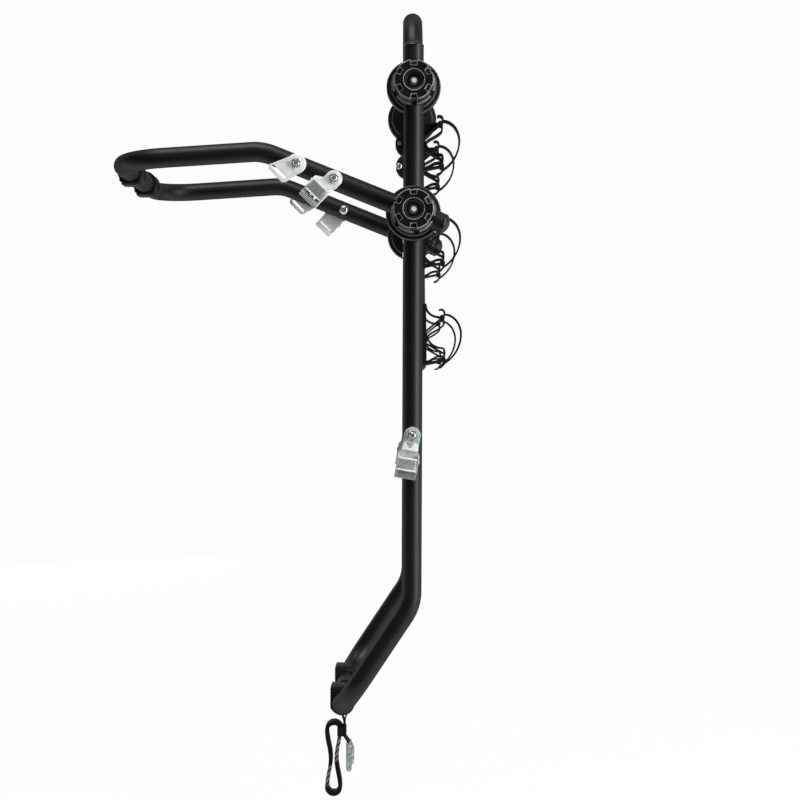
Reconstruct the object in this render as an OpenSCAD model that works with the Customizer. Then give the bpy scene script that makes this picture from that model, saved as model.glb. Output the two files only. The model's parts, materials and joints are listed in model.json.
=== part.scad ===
// Trunk mounted bike rack for three bikes, folded as it is shipped.
// +X points away from the vehicle, +Y to the far side, +Z up, millimetres.
// The origin lies midway between the lower feet, in the plane of their faces,
// level with the axis of the bottom crossbar.

/* [Tube] */
// Outside diameter of the frame tubes
tube_d = 28.6; // [25:0.1:32]
// Wall of the frame tubes
tube_wall = 1.6; // [1.2:0.1:2.5]
// Height of the domed end caps
cap_h = 9.5; // [6:0.5:14]
// Length of the end cap's plug inside the tube
plug_l = 16; // [10:1:30]

/* [Main frame] */
// Distance between the axes of the two legs
leg_spacing = 332; // [300:1:400]
// Distance from the bottom crossbar's axis back to the legs
kick_depth = 102; // [80:1:130]
// Height of the lower bend's corner above the bottom crossbar
kick_h = 154; // [140:1:220]
// Bend radius where the legs turn towards the vehicle
kick_r = 66; // [50:1:90]
// Bend radius of the bottom corners
bottom_r = 57; // [50:1:60]
// Height of the middle hubs above the bottom crossbar
mid_hub_z = 718; // [690:1:740]
// Height of the top hubs above the bottom crossbar
top_hub_z = 905; // [890:1:960]
// Length of leg above the top hub
leg_tail = 55; // [48:1:90]

/* [Support frame] */
// Angle of the support arms above level
support_rise = 21.6; // [15:0.1:30]
// Length of the support arms from the hub to their bend
support_arm_l = 231; // [215:1:260]
// Fall of the outer part below level
support_fall = 4; // [0:0.1:15]
// Length from the bend to the upper crossbar
support_outer_l = 207.5; // [180:0.5:260]
// Length of arm past the hub
support_tail = 45; // [44:1:80]
// Bend radius of the support arms
support_bend_r = 70; // [50:1:90]
// Bend radius of the support frame's corners
support_corner_r = 65; // [50:1:90]

/* [Bike arms] */
// Length of the bike arms below the top hub
arm_l = 405; // [395:1:480]
// Height of the arms' U above the top hub
arm_rise = 110; // [105:1:130]
// Bend radius of the arms' U
arm_corner_r = 62; // [50:1:65]
// Lean of the hanging arms away from the legs
arm_lean = 0.75; // [0:0.05:3]

/* [Hubs] */
// Distance between the axes of neighbouring tubes at a hub
stack_pitch = 40; // [38:0.5:46]
// Diameter of the locking discs
disc_d = 79; // [70:1:84]
// Thickness of the locking disc's full rim
disc_rim = 5.5; // [4:0.5:7]
// Depth that a tube sinks into its saddle
saddle_depth = 5; // [3:0.5:6]
// Diameter of the saddle washer under a knob
saddle_d = 63; // [60:1:68]
// Solid thickness of the saddle washer over the tube
saddle_web = 5.4; // [3:0.1:8]
// Diameter of the knobs
knob_d = 57; // [52:1:60]
// Thickness of the knobs
knob_h = 27; // [22:1:32]
// Number of finger notches round a knob
knob_notches = 6; // [4:1:8]
// Diameter of the hub bolts
hub_bolt_d = 8; // [6:0.5:10]

/* [Feet] */
// Length of a foot along its crossbar
foot_l = 42; // [30:1:46]
// Wall of the foot's sleeve
foot_wall = 2.8; // [2:0.1:3.1]
// Width of the flange at each end of a foot's sleeve
foot_flange = 6; // [3:0.5:8]
// Rubber between the bottom crossbar and the lower foot's face
lower_pad_t = 3.2; // [3.2:0.1:10]
// Height of the lower foot's block above the crossbar's axis
lower_foot_up = 24; // [20:0.5:30]
// Depth of the lower foot's block below the crossbar's axis
lower_foot_down = 13; // [12:0.5:30]
// Distance between the middles of the lower feet
lower_foot_spacing = 174; // [130:1:174]
// Rubber between the upper crossbar and the upper foot's face
upper_pad_t = 4; // [3.2:0.1:12]
// Width of the upper foot's block
upper_foot_w = 32; // [28:1:40]
// Distance between the middles of the upper feet
upper_foot_spacing = 140; // [100:1:180]

/* [Cradles] */
// Distance from the top hub to the first cradle
cradle_first = 79.5; // [76:0.5:90]
// Length of arm below the foot of the last cradle
arm_end_room = 2; // [1:0.5:20]
// Width of a cradle along the bike's tube
cradle_w = 22; // [16:1:26]
// Thickness of the cradle's walls
cradle_wall = 2.6; // [2:0.1:3.5]
// Half of the distance between the cradle's tips
cradle_half = 31; // [28:0.5:34]
// Distance from the arm's axis to the cradle's tips
cradle_reach = 39; // [36:0.5:42]
// Width of the rubber straps
strap_w = 18; // [12:1:22]
// Thickness of the rubber straps
strap_t = 2.6; // [2:0.1:3.5]
// How far a strap stands out from the arm's axis
strap_out = 66.5; // [60:0.5:80]

/* [Strap hardware] */
// Thickness of the stamped plates
plate_t = 2.4; // [1.5:0.1:3]
// Inside width for the webbing
webbing_w = 25; // [20:1:28]
// Length from bolt to ears on the support arms' buckles
short_neck = 14; // [13:1:20]
// Length from bolt to ears on the legs' buckles
long_neck = 28; // [20:1:40]
// Diameter of the bracket bolts
bolt_d = 8; // [6:0.5:9]
// Distance from the middle hub to the cam buckle's bolt
buckle_at = 121; // [116:1:126]
// Distance from the middle hub to the slotted bracket's bolt
bracket_at = 178; // [174:1:186]
// Height of the leg buckles' bolts above the bottom crossbar
leg_buckle_z = 400; // [340:1:440]
// Direction of the slotted bracket, from +X towards +Z
bracket_turn = 224; // [205:1:235]
// Offset of the slotted bracket's end to the side of its bolt
slot_shift = 9; // [0:0.5:12]
// Direction of the support arm's buckle
buckle_turn = 227; // [215:1:240]
// Offset of the support arm's buckle to the side of its bolt
buckle_shift = 6; // [0:0.5:8]
// Direction of the leg's buckle
leg_buckle_turn = 260; // [245:1:285]

/* [Bottom strap] */
// Thickness of the webbing
webbing_t = 1.6; // [1:0.1:2]
// Height of the folded hank
hank_h = 119; // [100:1:150]
// Width of the hank over its round ends
hank_w = 27; // [25:0.5:36]
// Half width of the hank's middle layer at its waist
hank_waist = 4.4; // [4.2:0.1:9]
// Turns in the hank
hank_turns = 2.9; // [2:0.05:3]
// Distance between the hank's layers
hank_pitch = 2.5; // [2.4:0.1:3]

/* [Hidden] */
$fn = 64;
// Clearances: pieces fixed together, pieces that turn on each other, pins
seat_gap = 0.1;
turn_gap = 0.3;
pin_gap = 0.1;
// Collars between the tubes' straight runs and bends
collar_l = 0.6;
collar_d = 0.06;
collar_gap = 0.2;

tube_r = tube_d / 2;
bore_d = tube_d - 2 * tube_wall;
leg_y = leg_spacing / 2;
arm_y = leg_y - stack_pitch;
support_y = leg_y + stack_pitch;
lower_foot_reach = tube_r + lower_pad_t;
upper_foot_reach = tube_r + upper_pad_t;
bar_x = lower_foot_reach;
leg_x = bar_x + kick_depth;
leg_top = top_hub_z + leg_tail;
top_pivot = [leg_x, 0, top_hub_z];
mid_pivot = [leg_x, 0, mid_hub_z];

// Axes of the three bent tubes, each from its near end to its far end
function mirror_y(p) = [p.x, -p.y, p.z];
function both_sides(half) = [each half, for (i = [len(half) - 1:-1:0]) mirror_y(half[i])];
main_axis = both_sides([
    [leg_x, -leg_y, leg_top],
    [leg_x, -leg_y, kick_h],
    [bar_x, -leg_y, 0]]);
support_dir = [-cos(support_rise), 0, sin(support_rise)];
outer_dir = [-cos(support_fall), 0, -sin(support_fall)];
support_side = [0, -support_y, 0];
support_bend = mid_pivot + support_arm_l * support_dir;
support_bar = support_bend + support_outer_l * outer_dir;
support_axis = both_sides([
    mid_pivot - support_tail * support_dir + support_side,
    support_bend + support_side,
    support_bar + support_side]);
arm_axis = both_sides([[0, -arm_y, -arm_l], [0, -arm_y, arm_rise]]);

// Places of the hub's layers, measured outwards from the axis of the tube that the knob presses on
disc_in = stack_pitch / 2 - turn_gap / 2;
disc_l = stack_pitch / 2 - turn_gap / 2 - tube_r + saddle_depth;
saddle_l = saddle_depth + saddle_web;
saddle_out = tube_r + saddle_web;
knob_in = saddle_out + turn_gap;
knob_out = knob_in + knob_h;
recess_d = 30;
recess_h = 15;
hub_head_d = 18;
hub_head_h = 4.5;

// Strap hardware
ear_t = 2;
buckle_w = webbing_w + 2 * ear_t + 2;
tab_w = 24;
ear_l = 27;
ear_h = 12;
pin_d = 4;
pin_y = 9;
pin_z = 7.5;
barrel_d = 9;
roller_d = 8;
nut_af = bolt_d * 1.6;
nut_h = bolt_d * 0.8;
head_d = bolt_d * 1.85;
head_h = 4;
plate_seat = tube_r + turn_gap;
bracket_l = 33;
slot_h = 3.6;
slot_rim = 5.5;
bolt_place = [
    mid_pivot + buckle_at * support_dir,
    mid_pivot + bracket_at * support_dir];
leg_bolt_place = [leg_x, 0, leg_buckle_z];

// Cradles
cradle_screw_d = 5;
screw_bite = 1.6;
clamp_r = 20;
clamp_back = 7.3;
clamp_w = 18;
clamp_band = 24;
clamp_bolt_back = 22;
clamp_bolt_d = 6;
tip_r = 4;
cradle_base = tube_r + seat_gap;
base_t = 1.2;
mouth_drop = 2.2;
cradle_up = cradle_half + 18;
cradle_down = cradle_half + 9;
cradle_pitch = (arm_l - cradle_first - cradle_down - arm_end_room) / 2;

// Bottom strap
lead_drop = 44;
lead_t = 2 * webbing_t;
lead_kink = [bar_x, -70.5];
buckle_bar = [bar_x + 8, -84];
keeper_z = [-70, -56];
keeper_t = 1.4;
hank_x = bar_x - 16.5;
hank_top = -44;
hank_rings = 24;

powder_black = "#1b1b1d";
moulded_black = "#262628";
rubber_black = "#161616";
zinc = "#c3c9c6";
webbing_black = "#202022";

// Bent tubes

function unit(v) = v / norm(v);
function turn_at(a, b, c) = acos(unit(b - a) * unit(c - b));
function setback(a, b, c, r) = r * tan(turn_at(a, b, c) / 2);

// A round rod from p to q
module rod(p, q, d) {
    dir = unit(q - p);
    translate(p)
        rotate([0, acos(dir.z), atan2(dir.y, dir.x)])
            cylinder(d = d, h = norm(q - p));
}

// The round bend at b on the way from a to c
module bend(a, b, c, r, d) {
    u = unit(b - a);
    v = unit(c - b);
    angle = turn_at(a, b, c);
    centre = b + unit(v - u) * r / cos(angle / 2);
    e = unit(b - u * setback(a, b, c, r) - centre);
    n = cross(e, u);
    multmatrix([
        [e.x, u.x, n.x, centre.x],
        [e.y, u.y, n.y, centre.y],
        [e.z, u.z, n.z, centre.z],
        [0, 0, 0, 1]])
        rotate_extrude(angle = angle)
            translate([r, 0])
                circle(d = d);
}

// A rod along an axis with rounded corners; past lengthens both ends.
// A collar a hair wider than the rod joins each straight run to its bend
module bent_rod(axis, radii, d, past = 0) {
    last = len(axis) - 1;
    for (i = [0:last - 1]) {
        dir = unit(axis[i + 1] - axis[i]);
        from = i == 0
            ? -past
            : setback(axis[i - 1], axis[i], axis[i + 1], radii[i - 1]);
        to = i == last - 1
            ? -past
            : setback(axis[i], axis[i + 1], axis[i + 2], radii[i]);
        start = axis[i] + from * dir;
        end = axis[i + 1] - to * dir;
        rod(i == 0 ? start : start + collar_gap * dir, i == last - 1 ? end : end - collar_gap * dir, d);
        if (i > 0)
            rod(start - collar_l * dir, start + collar_l * dir, d + collar_d);
        if (i < last - 1)
            rod(end - collar_l * dir, end + collar_l * dir, d + collar_d);
    }
    for (i = [1:last - 1]) {
        bend(axis[i - 1], axis[i], axis[i + 1], radii[i - 1], d);
    }
}

// A cross hole through both tubes of a pair, along Y
module cross_hole(place, d) {
    reach = support_y + tube_d;
    translate([place.x, -reach, place.z])
        rotate([-90, 0, 0])
            cylinder(d = d, h = 2 * reach);
}

// A domed end cap that plugs a tube's end, whose axis points out along +Z
module end_cap() {
    lip_r = tube_r + 0.4;
    lip_h = 2;
    plug_r = bore_d / 2 - seat_gap;
    rise = cap_h - lip_h;
    dome_r = (lip_r * lip_r + rise * rise) / (2 * rise);
    rotate_extrude()
        union() {
            translate([0, -plug_l])
                square([plug_r, plug_l + seat_gap + 0.5]);
            translate([0, seat_gap])
                square([lip_r, lip_h - seat_gap]);
            intersection() {
                translate([0, cap_h - dome_r])
                    circle(dome_r);
                translate([0, lip_h - 0.2])
                    square([lip_r, cap_h]);
            }
        }
}

module for_both() {
    children();
    mirror([0, 1, 0]) children();
}

module on_far(far) {
    if (far)
        mirror([0, 1, 0]) children();
    else
        children();
}

// Main frame

module main_frame_tube() {
    radii = [kick_r, bottom_r, bottom_r, kick_r];
    color(powder_black)
        difference() {
            bent_rod(main_axis, radii, tube_d);
            bent_rod(main_axis, radii, bore_d, 1);
            cross_hole(top_pivot, hub_bolt_d + 2 * seat_gap);
            cross_hole(mid_pivot, hub_bolt_d + 2 * seat_gap);
            cross_hole(leg_bolt_place, bolt_d + 2 * seat_gap);
        }
}

module leg_end_caps() {
    color(moulded_black)
        for_both()
            translate([leg_x, -leg_y, leg_top])
                end_cap();
}

// The outline of a foot: a sleeve round the crossbar, and a block towards -Y that reaches from
// -left to right, with its edges chamfered
module foot_outline(reach, left, right, chamfers, wall) {
    difference() {
        union() {
            intersection() {
                circle(tube_r + wall);
                translate([-2 * tube_d, -reach])
                    square(4 * tube_d);
            }
            polygon([
                [-left, 0],
                [-left, chamfers[0] - reach],
                [chamfers[0] - left, -reach],
                [right - chamfers[1], -reach],
                [right, chamfers[1] - reach],
                [right, 0]]);
        }
        circle(tube_r + seat_gap);
    }
}

// A foot on the near half of a crossbar, with a flange at each end of its sleeve
module foot(place, reach, left, right, chamfers, spacing, turn) {
    flange_wall = foot_wall + 1.6;
    translate([place.x, foot_l / 2 - spacing / 2, place.z])
        rotate([0, turn, 0])
            rotate([90, 0, 0]) {
                linear_extrude(foot_l)
                    foot_outline(reach, left, right, chamfers, foot_wall);
                for (start = [0, foot_l - foot_flange])
                    translate([0, 0, start])
                        linear_extrude(foot_flange)
                            foot_outline(reach, left, right, chamfers, flange_wall);
            }
}

module lower_foot(far) {
    color(rubber_black)
        on_far(far)
            foot([bar_x, 0, 0], lower_foot_reach, lower_foot_up, lower_foot_down, [2, 5],
                lower_foot_spacing, 90);
}

module upper_foot(far) {
    half = upper_foot_w / 2;
    color(rubber_black)
        on_far(far)
            foot(support_bar, upper_foot_reach, half, half, [5, 5], upper_foot_spacing, 0);
}

// Hubs. Each layer is drawn about +Z, with the tube's axis along Y at z = 0

// One half of a locking disc, on the +Z side of its tube
module locking_disc() {
    low = tube_r - saddle_depth;
    high = disc_in;
    boss_r = disc_d / 2 - 6;
    edge = 1.5;
    difference() {
        rotate_extrude()
            polygon([
                [hub_bolt_d / 2 + pin_gap, low],
                [boss_r - edge, low],
                [boss_r, low + edge],
                [boss_r, high - disc_rim],
                [disc_d / 2 - edge, high - disc_rim],
                [disc_d / 2, high - disc_rim + edge],
                [disc_d / 2, high],
                [hub_bolt_d / 2 + pin_gap, high]]);
        rotate([90, 0, 0])
            cylinder(d = tube_d + 2 * seat_gap, h = disc_d, center = true);
    }
}

// Slots round a knob or washer of diameter d
module notches(d, w, depth, low, high) {
    for (i = [0:knob_notches - 1])
        rotate([0, 0, (i + 0.5) * 360 / knob_notches])
            translate([d / 2 - depth, -w / 2, low])
                cube([depth + 1, w, high - low]);
}

// The saddle washer on the +Z side of its tube
module saddle_washer() {
    low = tube_r - saddle_depth;
    edge = 2.4;
    difference() {
        rotate_extrude()
            polygon([
                [hub_bolt_d / 2 + pin_gap, low],
                [saddle_d / 2, low],
                [saddle_d / 2, saddle_out - edge],
                [saddle_d / 2 - edge, saddle_out],
                [hub_bolt_d / 2 + pin_gap, saddle_out]]);
        rotate([90, 0, 0])
            cylinder(d = tube_d + 2 * seat_gap, h = disc_d, center = true);
        notches(saddle_d, 8, 4.5, low - 1, saddle_out + 1);
    }
}

// A hand knob with finger slots and a conical well round the bolt's end
module knob() {
    edge = 2;
    floor_r = hub_bolt_d / 2 + 2.5;
    difference() {
        rotate_extrude()
            polygon([
                [hub_bolt_d / 2 + pin_gap, knob_in],
                [knob_d / 2 - edge, knob_in],
                [knob_d / 2, knob_in + edge],
                [knob_d / 2, knob_out - edge],
                [knob_d / 2 - edge, knob_out],
                [recess_d / 2, knob_out],
                [floor_r, knob_out - recess_h],
                [hub_bolt_d / 2 + pin_gap, knob_out - recess_h]]);
        notches(knob_d, 5.5, 6, knob_in - 1, knob_out + 1);
    }
}

// A carriage bolt along +Z, its head below z = under
module hub_bolt(under, end) {
    tip = 1;
    rotate_extrude()
        polygon([
            [0, under - hub_head_h],
            [hub_head_d / 2 - 3, under - hub_head_h],
            [hub_head_d / 2, under - 1],
            [hub_head_d / 2, under],
            [hub_bolt_d / 2, under],
            [hub_bolt_d / 2, end - tip],
            [hub_bolt_d / 2 - tip, end],
            [0, end]]);
}

// Puts a hub layer on the near tube at y, with +Z turned outwards and the tube's axis along X turned by turn
module at_hub(pivot, y, turn = 0) {
    translate([pivot.x, -y, pivot.z])
        rotate([0, turn, 0])
            rotate([90, 0, 0])
                children();
}

module top_disc_outer(far) {
    color(moulded_black)
        on_far(far)
            at_hub(top_pivot, leg_y)
                mirror([0, 0, 1]) locking_disc();
}

module top_disc_inner(far) {
    color(moulded_black)
        on_far(far)
            at_hub(top_pivot, arm_y, -arm_lean)
                locking_disc();
}

module mid_disc_inner(far) {
    color(moulded_black)
        on_far(far)
            at_hub(mid_pivot, leg_y)
                locking_disc();
}

module mid_disc_outer(far) {
    color(moulded_black)
        on_far(far)
            at_hub(mid_pivot, support_y, support_rise - 90)
                mirror([0, 0, 1]) locking_disc();
}

module top_saddle_washers() {
    color(moulded_black)
        for_both()
            at_hub(top_pivot, leg_y)
                saddle_washer();
}

module mid_saddle_washers() {
    color(moulded_black)
        for_both()
            at_hub(mid_pivot, support_y, support_rise - 90)
                saddle_washer();
}

module top_knob(far) {
    color(moulded_black)
        on_far(far)
            at_hub(top_pivot, leg_y)
                knob();
}

module mid_knob(far) {
    color(moulded_black)
        on_far(far)
            at_hub(mid_pivot, support_y)
                knob();
}

module hub_bolts() {
    under = -stack_pitch - tube_r - turn_gap;
    end = knob_out - recess_h / 2;
    color(zinc)
        for_both() {
            at_hub(top_pivot, leg_y)
                hub_bolt(under, end);
            at_hub(mid_pivot, support_y)
                hub_bolt(under, end);
        }
}

// Support frame

module support_frame_tube() {
    radii = [support_bend_r, support_corner_r, support_corner_r, support_bend_r];
    color(powder_black)
        difference() {
            bent_rod(support_axis, radii, tube_d);
            bent_rod(support_axis, radii, bore_d, 1);
            cross_hole(mid_pivot, hub_bolt_d + 2 * pin_gap);
            for (place = bolt_place)
                cross_hole(place, bolt_d + 2 * seat_gap);
        }
}

module support_end_caps() {
    end = support_axis[0];
    color(moulded_black)
        for_both()
            translate(end)
                rotate([0, 90 + support_rise, 0])
                    end_cap();
}

// Bike arms

// Puts a piece drawn about the top hub into its hanging place
module hanging() {
    translate(top_pivot)
        rotate([0, -arm_lean, 0])
            children();
}

function cradle_z(i) = -cradle_first - i * cradle_pitch;

module bike_arm_tube() {
    radii = [arm_corner_r, arm_corner_r];
    color(powder_black)
        hanging()
            difference() {
                bent_rod(arm_axis, radii, tube_d);
                bent_rod(arm_axis, radii, bore_d, 1);
                cross_hole([0, 0, 0], hub_bolt_d + 2 * pin_gap);
                for (i = [1:2], side = [-1, 1])
                    translate([-tube_d, side * arm_y, cradle_z(i)])
                        rotate([0, 90, 0])
                            cylinder(d = cradle_screw_d + 2 * seat_gap, h = 2 * tube_d);
            }
}

module bike_arm_end_caps() {
    color(moulded_black)
        hanging()
            for_both()
                translate([0, -arm_y, -arm_l])
                    rotate([180, 0, 0])
                        end_cap();
}

// A band of thickness t along a line of points
function tangent(line, i) = unit(line[min(i + 1, len(line) - 1)] - line[max(i - 1, 0)]);
function beside(line, i, off) = line[i] + off * [-tangent(line, i).y, tangent(line, i).x];
module band(line, t) {
    polygon([
        for (i = [0:len(line) - 1]) beside(line, i, t / 2),
        for (i = [len(line) - 1:-1:0]) beside(line, i, -t / 2)]);
}

// Points of an arc round a centre
function arc(centre, r, from, to, n) =
    [for (i = [0:n]) centre + r * [cos(from + (to - from) * i / n), sin(from + (to - from) * i / n)]];

// Points of a smooth curve through a, pulled by b and c, to d
function curve(a, b, c, d, n) = [for (i = [0:n])
    let (s = i / n, q = 1 - s)
        q * q * q * a + 3 * q * q * s * b + 3 * q * s * s * c + s * s * s * d];

// The cradle from the side: x away from the arm, y along it
tip = [cradle_reach, cradle_half - mouth_drop];
low_tip = [cradle_reach + 1, -cradle_half - mouth_drop];
web_start = cradle_base + base_t / 2;
seat_x = cradle_base + 3;
strut_y = 9;
module cradle_outline(clamp) {
    bar_end = tip + [1, -12];
    hook_end = low_tip + [0, 17];
    translate([tube_r / 2, -cradle_down])
        square([cradle_base + base_t - tube_r / 2, cradle_up + cradle_down]);
    if (clamp)
        band([[web_start, tip.y], tip], cradle_wall);
    else
        band(curve([web_start, cradle_up], [web_start, cradle_up - 13], tip - [15, 0], tip, 10), cradle_wall);
    band([[web_start, strut_y], tip], cradle_wall);
    band(curve([seat_x, 0], [seat_x + 0.5, 6], [seat_x + 14, 8], bar_end, 8), cradle_wall);
    band(curve(bar_end, bar_end + [2, 3], tip + [3, -4], tip, 5), cradle_wall);
    translate(tip) circle(tip_r);
    band(curve([seat_x, 0], [seat_x + 0.5, -9], hook_end - [11, 0], hook_end, 8), cradle_wall);
    band(curve(hook_end, hook_end + [3, -2], low_tip + [2.5, 6], low_tip, 6), cradle_wall);
    band([[web_start, -strut_y], low_tip + [1, 9]], cradle_wall);
    band(curve([web_start, 4 - cradle_down], [web_start + 9, 6 - cradle_down],
        low_tip + [-12, 7], low_tip + [0, 5], 6), cradle_wall);
    band([[web_start, 2 - cradle_down], low_tip], cradle_wall);
    translate(low_tip) circle(tip_r);
}

// A cradle on the near arm, about the arm's axis, with its mouth towards +X
module cradle_body(clamp) {
    gusset_w = 6;
    difference() {
        union() {
            rotate([90, 0, 0])
                linear_extrude(cradle_w, center = true)
                    cradle_outline(clamp);
            if (clamp)
                rotate([90, 0, 0])
                    linear_extrude(gusset_w, center = true)
                        polygon([[web_start, tip.y], tip, [web_start, strut_y]]);
            translate([cradle_base - 2, 0, 0])
                rotate([0, 90, 0])
                    cylinder(d = 3 * cradle_screw_d, h = 2 + cradle_wall);
            if (clamp) {
                translate([-clamp_back, 0, 0])
                    rotate([90, 0, 0])
                        cylinder(r = clamp_r, h = clamp_w, center = true);
                cylinder(r = cradle_base + cradle_wall, h = clamp_band, center = true);
            }
        }
        cylinder(r = cradle_base, h = 6 * cradle_half, center = true);
        if (clamp)
            translate([-clamp_bolt_back, 0, 0])
                rotate([90, 0, 0])
                    cylinder(d = clamp_bolt_d + 2 * seat_gap, h = 2 * clamp_w, center = true);
        else
            rotate([0, 90, 0])
                cylinder(d = cradle_screw_d + 2 * seat_gap, h = cradle_base + screw_bite + seat_gap);
    }
}

module cradle(i, far) {
    color(rubber_black)
        hanging()
            on_far(far)
                translate([0, -arm_y, cradle_z(i - 1)])
                    cradle_body(i == 1);
}

// Line of the rubber strap from the upper tip, round the mouth, to the lower tip, and its curled tabs
strap_clear = tip_r + turn_gap + strap_t / 2;
strap_from = tip + strap_clear * [cos(50), sin(50)];
strap_to = low_tip + strap_clear * [cos(-58), sin(-58)];
strap_mid = [strap_out, 4];
strap_line = [
    each curve(strap_from, strap_from + [13, 0.2], [strap_out, tip.y - 9], strap_mid, 9),
    for (i = [1:9]) curve(strap_mid, strap_mid - [0, 16], strap_to + [14.4, 9], strap_to, 9)[i],
    for (i = [1:6]) curve(strap_to, strap_to - [3.4, 2.1], strap_to - [4.5, 8], strap_to - [10.5, 7], 6)[i]];
strap_tab = [each arc(tip + [-1.4, 6.8], 4.8, 130, -15, 9), strap_from + [1, 0]];

module cradle_strap(i, far) {
    slot_w = strap_w / 2;
    color(rubber_black)
        hanging()
            on_far(far)
                translate([0, -arm_y, cradle_z(i - 1)])
                    difference() {
                        rotate([90, 0, 0])
                            linear_extrude(strap_w, center = true) {
                                band(strap_line, strap_t);
                                band(strap_tab, strap_t);
                            }
                        translate([cradle_reach + 8, -slot_w / 2, 0])
                            cube([12, slot_w, 2 * cradle_half]);
                    }
}

// A round head with a softened edge, standing on z = 0
module pan_head(d, h) {
    rotate_extrude()
        polygon([[0, 0], [d / 2, 0], [d / 2, h / 2], [d / 2 - h / 2, h], [0, h]]);
}

module cradle_fasteners() {
    screw_l = tube_d + 2 * seat_gap;
    clamp_end = clamp_w / 2 + seat_gap;
    color(zinc)
        hanging()
            for_both() {
                for (i = [1:2])
                    translate([-cradle_base, -arm_y, cradle_z(i)])
                        rotate([0, 90, 0]) {
                            cylinder(d = cradle_screw_d, h = screw_l + screw_bite);
                            mirror([0, 0, 1]) pan_head(2 * cradle_screw_d, 3);
                        }
                translate([-clamp_bolt_back, -arm_y, cradle_z(0)])
                    rotate([90, 0, 0]) {
                        cylinder(d = clamp_bolt_d, h = clamp_w + 3, center = true);
                        translate([0, 0, -clamp_end])
                            mirror([0, 0, 1]) pan_head(1.7 * clamp_bolt_d, 3);
                    }
            }
}

// Strap hardware. Each piece is drawn flat: bolt at the origin, strap end towards +Y, outside towards +Z

module hardware_at(place, y, turn) {
    translate([place.x, -y - plate_seat, place.z])
        rotate([0, 90 - turn, 0])
            rotate([90, 0, 0])
                children();
}

// The side ear of a buckle, from the side: x along the buckle, y outwards
module ear_outline(start) {
    polygon([
        [start, 0],
        [start, ear_h - 5],
        [4, ear_h],
        [15, ear_h],
        [ear_l, 5],
        [ear_l, 0]]);
}

// Base plate, ears and roller of a cam buckle; y = 0 is where the ears start
module buckle_body(start) {
    outer = buckle_w / 2;
    difference() {
        union() {
            translate([-outer, 0, 0])
                cube([buckle_w, ear_l + 2, plate_t]);
            for (side = [-1, 1])
                translate([side * (outer - ear_t / 2), 0, 0])
                    rotate([90, 0, 90])
                        linear_extrude(ear_t, center = true)
                            ear_outline(start);
            translate([0, ear_l + roller_d / 2, roller_d / 2])
                rotate([0, 90, 0])
                    cylinder(d = roller_d, h = buckle_w, center = true);
        }
        translate([0, pin_y, pin_z])
            rotate([0, 90, 0])
                cylinder(d = pin_d + 2 * seat_gap, h = 2 * buckle_w, center = true);
    }
}

// The rivet that a lever turns on, part of its buckle's frame set
module buckle_pin() {
    head = 1.2;
    span = buckle_w + 2 * seat_gap;
    translate([0, pin_y, pin_z])
        rotate([0, 90, 0]) {
            cylinder(d = pin_d, h = span, center = true);
            for (side = [0, 1])
                mirror([0, 0, side])
                    translate([0, 0, span / 2])
                        cylinder(d = pin_d + 2, h = head);
        }
}

// The cam lever: barrel, cam nose and thumb plate with ribs
module cam_lever() {
    width = buckle_w - 2 * ear_t - 2 * turn_gap;
    thumb_l = 19;
    thumb_t = 2;
    ribs = 6;
    difference() {
        union() {
            translate([0, pin_y, pin_z])
                rotate([0, 90, 0])
                    cylinder(d = barrel_d, h = width, center = true);
            translate([0, pin_y + 2.4, pin_z - 2.4])
                rotate([0, 90, 0])
                    cylinder(r = 2.2, h = width, center = true);
            translate([-width / 2, pin_y, pin_z + barrel_d / 2 - thumb_t])
                cube([width, thumb_l, thumb_t]);
            for (i = [0:ribs - 1])
                translate([-width / 2 + 2, pin_y + 5 + i * 2.2, pin_z + barrel_d / 2 - 0.2])
                    cube([width - 4, 1, 0.6]);
        }
        translate([0, pin_y, pin_z])
            rotate([0, 90, 0])
                cylinder(d = pin_d + 2 * pin_gap, h = 2 * width, center = true);
    }
}

// A bolted buckle's frame, its body shift to the side of the bolt
module bolted_buckle(neck, shift) {
    shoulder = 6;
    difference() {
        union() {
            cylinder(d = tab_w, h = plate_t);
            linear_extrude(plate_t)
                polygon([
                    [-tab_w / 2, 0],
                    [tab_w / 2, 0],
                    [tab_w / 2, neck - shoulder],
                    [shift + buckle_w / 2, neck],
                    [shift - buckle_w / 2, neck],
                    [-tab_w / 2, neck - shoulder]]);
            translate([shift, neck, 0])
                buckle_body(0);
        }
        translate([0, 0, -1])
            cylinder(d = bolt_d + 2 * pin_gap, h = plate_t + 2);
    }
}

module bolted_buckle_set(neck, shift = 0) {
    bolted_buckle(neck, shift);
    translate([shift, neck, 0])
        buckle_pin();
}

module leg_buckle(far) {
    color(zinc)
        on_far(far)
            hardware_at(leg_bolt_place, leg_y, leg_buckle_turn)
                bolted_buckle_set(long_neck);
}

module leg_lever(far) {
    color(zinc)
        on_far(far)
            hardware_at(leg_bolt_place, leg_y, leg_buckle_turn)
                translate([0, long_neck, 0])
                    cam_lever();
}

module support_buckle(far) {
    color(zinc)
        on_far(far)
            hardware_at(bolt_place[0], support_y, buckle_turn)
                bolted_buckle_set(short_neck, buckle_shift);
}

module support_lever(far) {
    color(zinc)
        on_far(far)
            hardware_at(bolt_place[0], support_y, buckle_turn)
                translate([buckle_shift, short_neck, 0])
                    cam_lever();
}

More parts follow.
